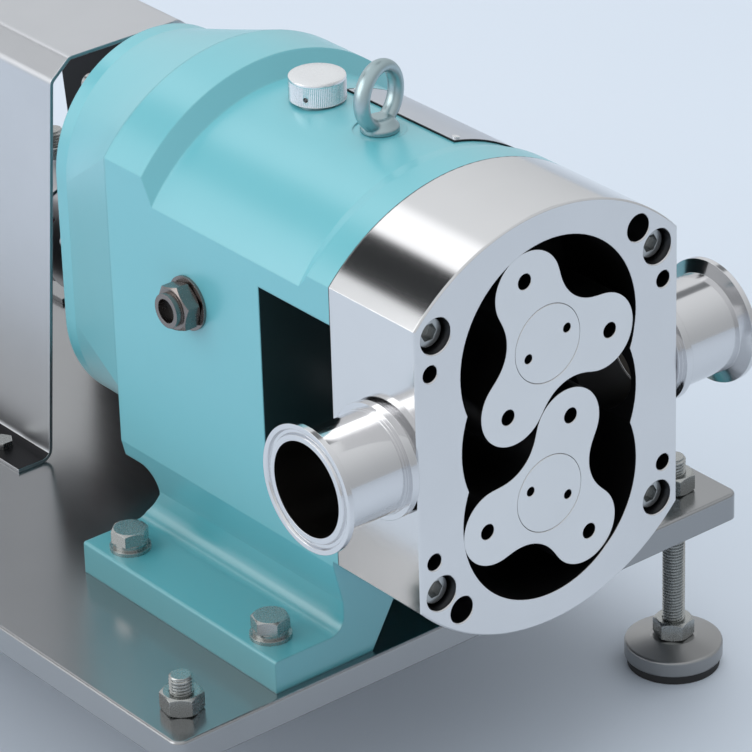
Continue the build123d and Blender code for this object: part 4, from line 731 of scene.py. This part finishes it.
# %% Breather cap
cap_low, cap_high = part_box("breather_cap")
cap_centre = (cap_low + cap_high) / 2
cap_radius = (cap_high.x - cap_low.x) / 2
cap_height = cap_high.z - cap_low.z
cap_bore = 7.3 * mm
cap_bore_depth = 7.3 * mm
knurl_count = 96
knurl_depth = 0.28 * mm
cap_edge = 0.7 * mm
knurl_top = cap_height - 1.6 * mm
vent_radius = 1.3 * mm
vent_height = 4.3 * mm
vent_turn = radians(-152.5)

cap = bmesh.new()
section = chain(cap, [
    (0, 0, cap_bore_depth),
    (cap_bore, 0, cap_bore_depth),
    (cap_bore, 0, 0),
    (cap_radius - cap_edge, 0, 0),
    (cap_radius, 0, 0.4 * mm),
    (cap_radius, 0, 0.8 * mm),
    (cap_radius, 0, knurl_top),
    (cap_radius, 0, knurl_top + 0.3 * mm),
    (cap_radius, 0, cap_height - cap_edge),
    (cap_radius - 0.3 * cap_edge, 0, cap_height - 0.25 * cap_edge),
    (cap_radius - cap_edge, 0, cap_height),
    (cap_radius * 0.6, 0, cap_height),
    (0, 0, cap_height),
])
spin_round(cap, section, 2 * knurl_count)
for vert in cap.verts:
    reach = hypot(vert.co.x, vert.co.y)
    in_band = 0.6 * mm < vert.co.z < knurl_top + 0.1 * mm
    rib = round(atan2(vert.co.y, vert.co.x) / (pi / knurl_count))
    if in_band and reach > cap_radius - 0.1 * mm and rib % 2:
        vert.co.x *= 1 - knurl_depth / reach
        vert.co.y *= 1 - knurl_depth / reach
bmesh.ops.recalc_face_normals(cap, faces=cap.faces)
bmesh.ops.translate(cap, verts=cap.verts, vec=(cap_centre.x, cap_centre.y, cap_low.z))
cap_piece = make_piece(
    "knurled_cap", cap, cap_metal, "breather_cap", ["breather_cap"], crease=25
)

# %% [markdown]
# The vent lets the gearbox breathe. A drill is a plain cylinder that lies across the cap's wall, and a
# Boolean takes it out of the cap. The drill itself is deleted once the cut is applied.

# %% Vent hole
direction = Vector((cos(vent_turn), sin(vent_turn), 0))
drill = bmesh.new()
bmesh.ops.create_cone(
    drill, cap_ends=True, segments=24, radius1=vent_radius, radius2=vent_radius, depth=cap_radius
)
lie_down = direction.to_track_quat("Z", "Y").to_matrix()
bmesh.ops.rotate(drill, verts=drill.verts, cent=(0, 0, 0), matrix=lie_down)
vent_place = Vector((cap_centre.x, cap_centre.y, cap_low.z + vent_height)) + direction * cap_radius
bmesh.ops.translate(drill, verts=drill.verts, vec=vent_place)
drill_mesh = bpy.data.meshes.new("drill")
drill.to_mesh(drill_mesh)
drill.free()
drill_object = bpy.data.objects.new("drill", drill_mesh)
bpy.context.scene.collection.objects.link(drill_object)
cut = cap_piece.modifiers.new("vent", "BOOLEAN")
cut.object = drill_object
cut.operation = "DIFFERENCE"
cut.solver = "EXACT"
apply_modifiers(cap_piece)
bpy.data.objects.remove(drill_object)

# %% [markdown]
# ## Forged eye bolt
#
# A lifting eye is forged in one piece, so its ring flows into its collar with no seam. The ring and the
# collar are spun apart. A voxel Remesh then melts them into one skin, and a Smooth pass rounds the joint, as
# hot metal does in the die. Both are applied, so the piece is a plain mesh in the end.

# %% Eye bolt
eye_low, eye_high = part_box("eye_bolt")
thread_below_seat = 12 * mm
seat_height = eye_low.z + thread_below_seat
eye_y = (eye_low.y + eye_high.y) / 2
ring_radius = 14.7 * mm
ring_half_thickness = 3.3 * mm
ring_half_width = 4.3 * mm
ring_turn = radians(17)
collar_radius = 9.6 * mm

ring = bmesh.new()
wire = bmesh.ops.create_circle(ring, cap_ends=False, radius=1, segments=32)["verts"]
bmesh.ops.rotate(ring, verts=wire, cent=(0, 0, 0), matrix=Matrix.Rotation(pi / 2, 3, "X"))
bmesh.ops.scale(ring, verts=wire, vec=(ring_half_thickness, 1, ring_half_width))
bmesh.ops.translate(ring, verts=wire, vec=(ring_radius, 0, 0))
spin_round(ring, list(ring.verts) + list(ring.edges), 72)
bmesh.ops.rotate(ring, verts=ring.verts, cent=(0, 0, 0), matrix=Matrix.Rotation(pi / 2, 3, "X"))
bmesh.ops.translate(ring, verts=ring.verts, vec=(0, 0, eye_high.z - ring_radius - ring_half_thickness))
collar_section = chain(ring, [
    (0, 0, seat_height),
    (collar_radius, 0, seat_height),
    (collar_radius, 0, seat_height + 2.6 * mm),
    (collar_radius - 0.9 * mm, 0, seat_height + 3.5 * mm),
    (7.8 * mm, 0, seat_height + 4.6 * mm),
    (6.2 * mm, 0, seat_height + 6.6 * mm),
    (4.0 * mm, 0, seat_height + 7.4 * mm),
    (0, 0, seat_height + 7.4 * mm),
])
spin_round(ring, collar_section, 64)
bmesh.ops.recalc_face_normals(ring, faces=ring.faces)
bmesh.ops.rotate(ring, verts=ring.verts, cent=(0, 0, 0), matrix=Matrix.Rotation(ring_turn, 3, "Z"))
bmesh.ops.translate(ring, verts=ring.verts, vec=(0, eye_y, 0))
eye_piece = make_piece("forged_eye", ring, plated_metal, "frame", ["eye_bolt"], crease=60)

# %% [markdown]
# Remesh walks over both shapes with small cubes and draws one skin around them. Smooth then evens out the
# steps that the cubes leave. Applied modifiers can't slow down anyone who uses the piece later.

# %% Melt the eye bolt together
melt = eye_piece.modifiers.new("melt", "REMESH")
melt.mode = "VOXEL"
melt.voxel_size = 0.45 * mm
melt.use_smooth_shade = True
ease = eye_piece.modifiers.new("ease", "SMOOTH")
ease.factor = 0.5
ease.iterations = 8
apply_modifiers(eye_piece)

# %% [markdown]
# ## Floor and light
#
# The floor is a plain pale sheet, larger than the view. A slow noise keeps it from looking like a flat
# fill.

# %% Floor
floor_material, tree, shader, place = start_material("floor_sheet", (0.64, 0.71, 0.80), 0.0, 0.6)
grain = add_node(tree, "ShaderNodeTexNoise", scale=2.0, detail=2.0)
join(tree, place, "Object", grain, "Vector")
vary_colour(tree, shader, grain, "Fac", (0.63, 0.70, 0.79), (0.65, 0.72, 0.81))
sheet = bmesh.new()
floor_half_side = 12
bmesh.ops.create_grid(sheet, x_segments=1, y_segments=1, size=floor_half_side)
sheet_mesh = bpy.data.meshes.new("floor")
sheet.to_mesh(sheet_mesh)
sheet.free()
sheet_mesh.materials.append(floor_material)
floor = bpy.data.objects.new("floor", sheet_mesh)
bpy.context.scene.collection.objects.link(floor)
print("floor is", 2 * floor_half_side, "m wide")

# %% [markdown]
# A big soft lamp at the upper left is the main light, and a second one above opens the shadows. The second
# one isn't mirrored in the steel, where it would leave a white streak across every round part.

# %% Lamps
def soft_lamp(name, place, aim, size, power, mirrored=True):
    """A square area lamp that looks at a point."""
    lamp_data = bpy.data.lights.new(name, "AREA")
    lamp_data.size = size
    lamp_data.energy = power
    lamp = bpy.data.objects.new(name, lamp_data)
    lamp.location = place
    lamp.rotation_mode = "QUATERNION"
    lamp.rotation_quaternion = (Vector(aim) - Vector(place)).to_track_quat("-Z", "Y")
    lamp.visible_glossy = mirrored
    bpy.context.scene.collection.objects.link(lamp)
    print(name, "lamp:", power, "W")


aim = port_centre + Vector((0, 0.15, 0))
soft_lamp("key", (-2.1, 0.8, 1.6), aim, 2.0, 22)
soft_lamp("top", (0.5, 0.2, 2.8), aim, 2.4, 16, mirrored=False)

# %% [markdown]
# The world fills in the rest. It isn't one flat colour, because metal shows what stands around it. The room
# grows brighter towards the main lamp. A white panel and two dark ones give the round steel its bands. Each
# panel is a direction, the cosine at which it starts, the cosine at which it is full, and its colour.

# %% World
key_way = Vector((-0.35, 0.45, 0.82)).normalized()
dim_side = (0.50, 0.52, 0.54)
bright_side = (0.96, 0.98, 1.0)
panels = [
    (Vector((-0.054, 0.692, 0.720)).normalized(), 0.970, 0.990, (1.55, 1.56, 1.58)),
    (Vector((-0.263, 0.692, 0.673)).normalized(), 0.981, 0.991, (0.02, 0.022, 0.024)),
    (Vector((0.550, 0.392, 0.737)).normalized(), 0.982, 0.992, (0.22, 0.23, 0.24)),
]
world = bpy.data.worlds.new("studio")
bpy.context.scene.world = world
world.use_nodes = True
sky = world.node_tree
sky.nodes.clear()
sky_out = add_node(sky, "ShaderNodeOutputWorld")
room = add_node(sky, "ShaderNodeBackground")
room.inputs["Strength"].default_value = 0.97
heading = add_node(sky, "ShaderNodeTexCoord")


def towards(direction, near, far):
    """A mask that is 1 towards a direction and fades out away from it."""
    cosine = add_node(sky, "ShaderNodeVectorMath", operation="DOT_PRODUCT")
    cosine.inputs[1].default_value = direction
    join(sky, heading, "Generated", cosine, 0)
    fade = add_node(sky, "ShaderNodeMapRange", interpolation_type="SMOOTHSTEP")
    fade.inputs["From Min"].default_value = near
    fade.inputs["From Max"].default_value = far
    join(sky, cosine, "Value", fade, "Value")
    return fade


def mix_room(mask, before, after):
    """A colour that changes from one to another where a mask is 1."""
    mix = add_node(sky, "ShaderNodeMix", data_type="RGBA")
    mix.inputs[7].default_value = (*after, 1)
    if isinstance(before, tuple):
        mix.inputs[6].default_value = (*before, 1)
    else:
        sky.links.new(before.outputs[2], mix.inputs[6])
    join(sky, mask, "Result", mix, 0)
    return mix


print("panels around the pump:", len(panels))
room_colour = mix_room(towards(key_way, -0.6, 0.9), dim_side, bright_side)
for direction, outer, inner, glow in panels:
    room_colour = mix_room(towards(direction, outer, inner), room_colour, glow)
sky.links.new(room_colour.outputs[2], room.inputs["Color"])
join(sky, room, "Background", sky_out, "Surface")

bpy.context.scene.view_settings.view_transform = "Standard"
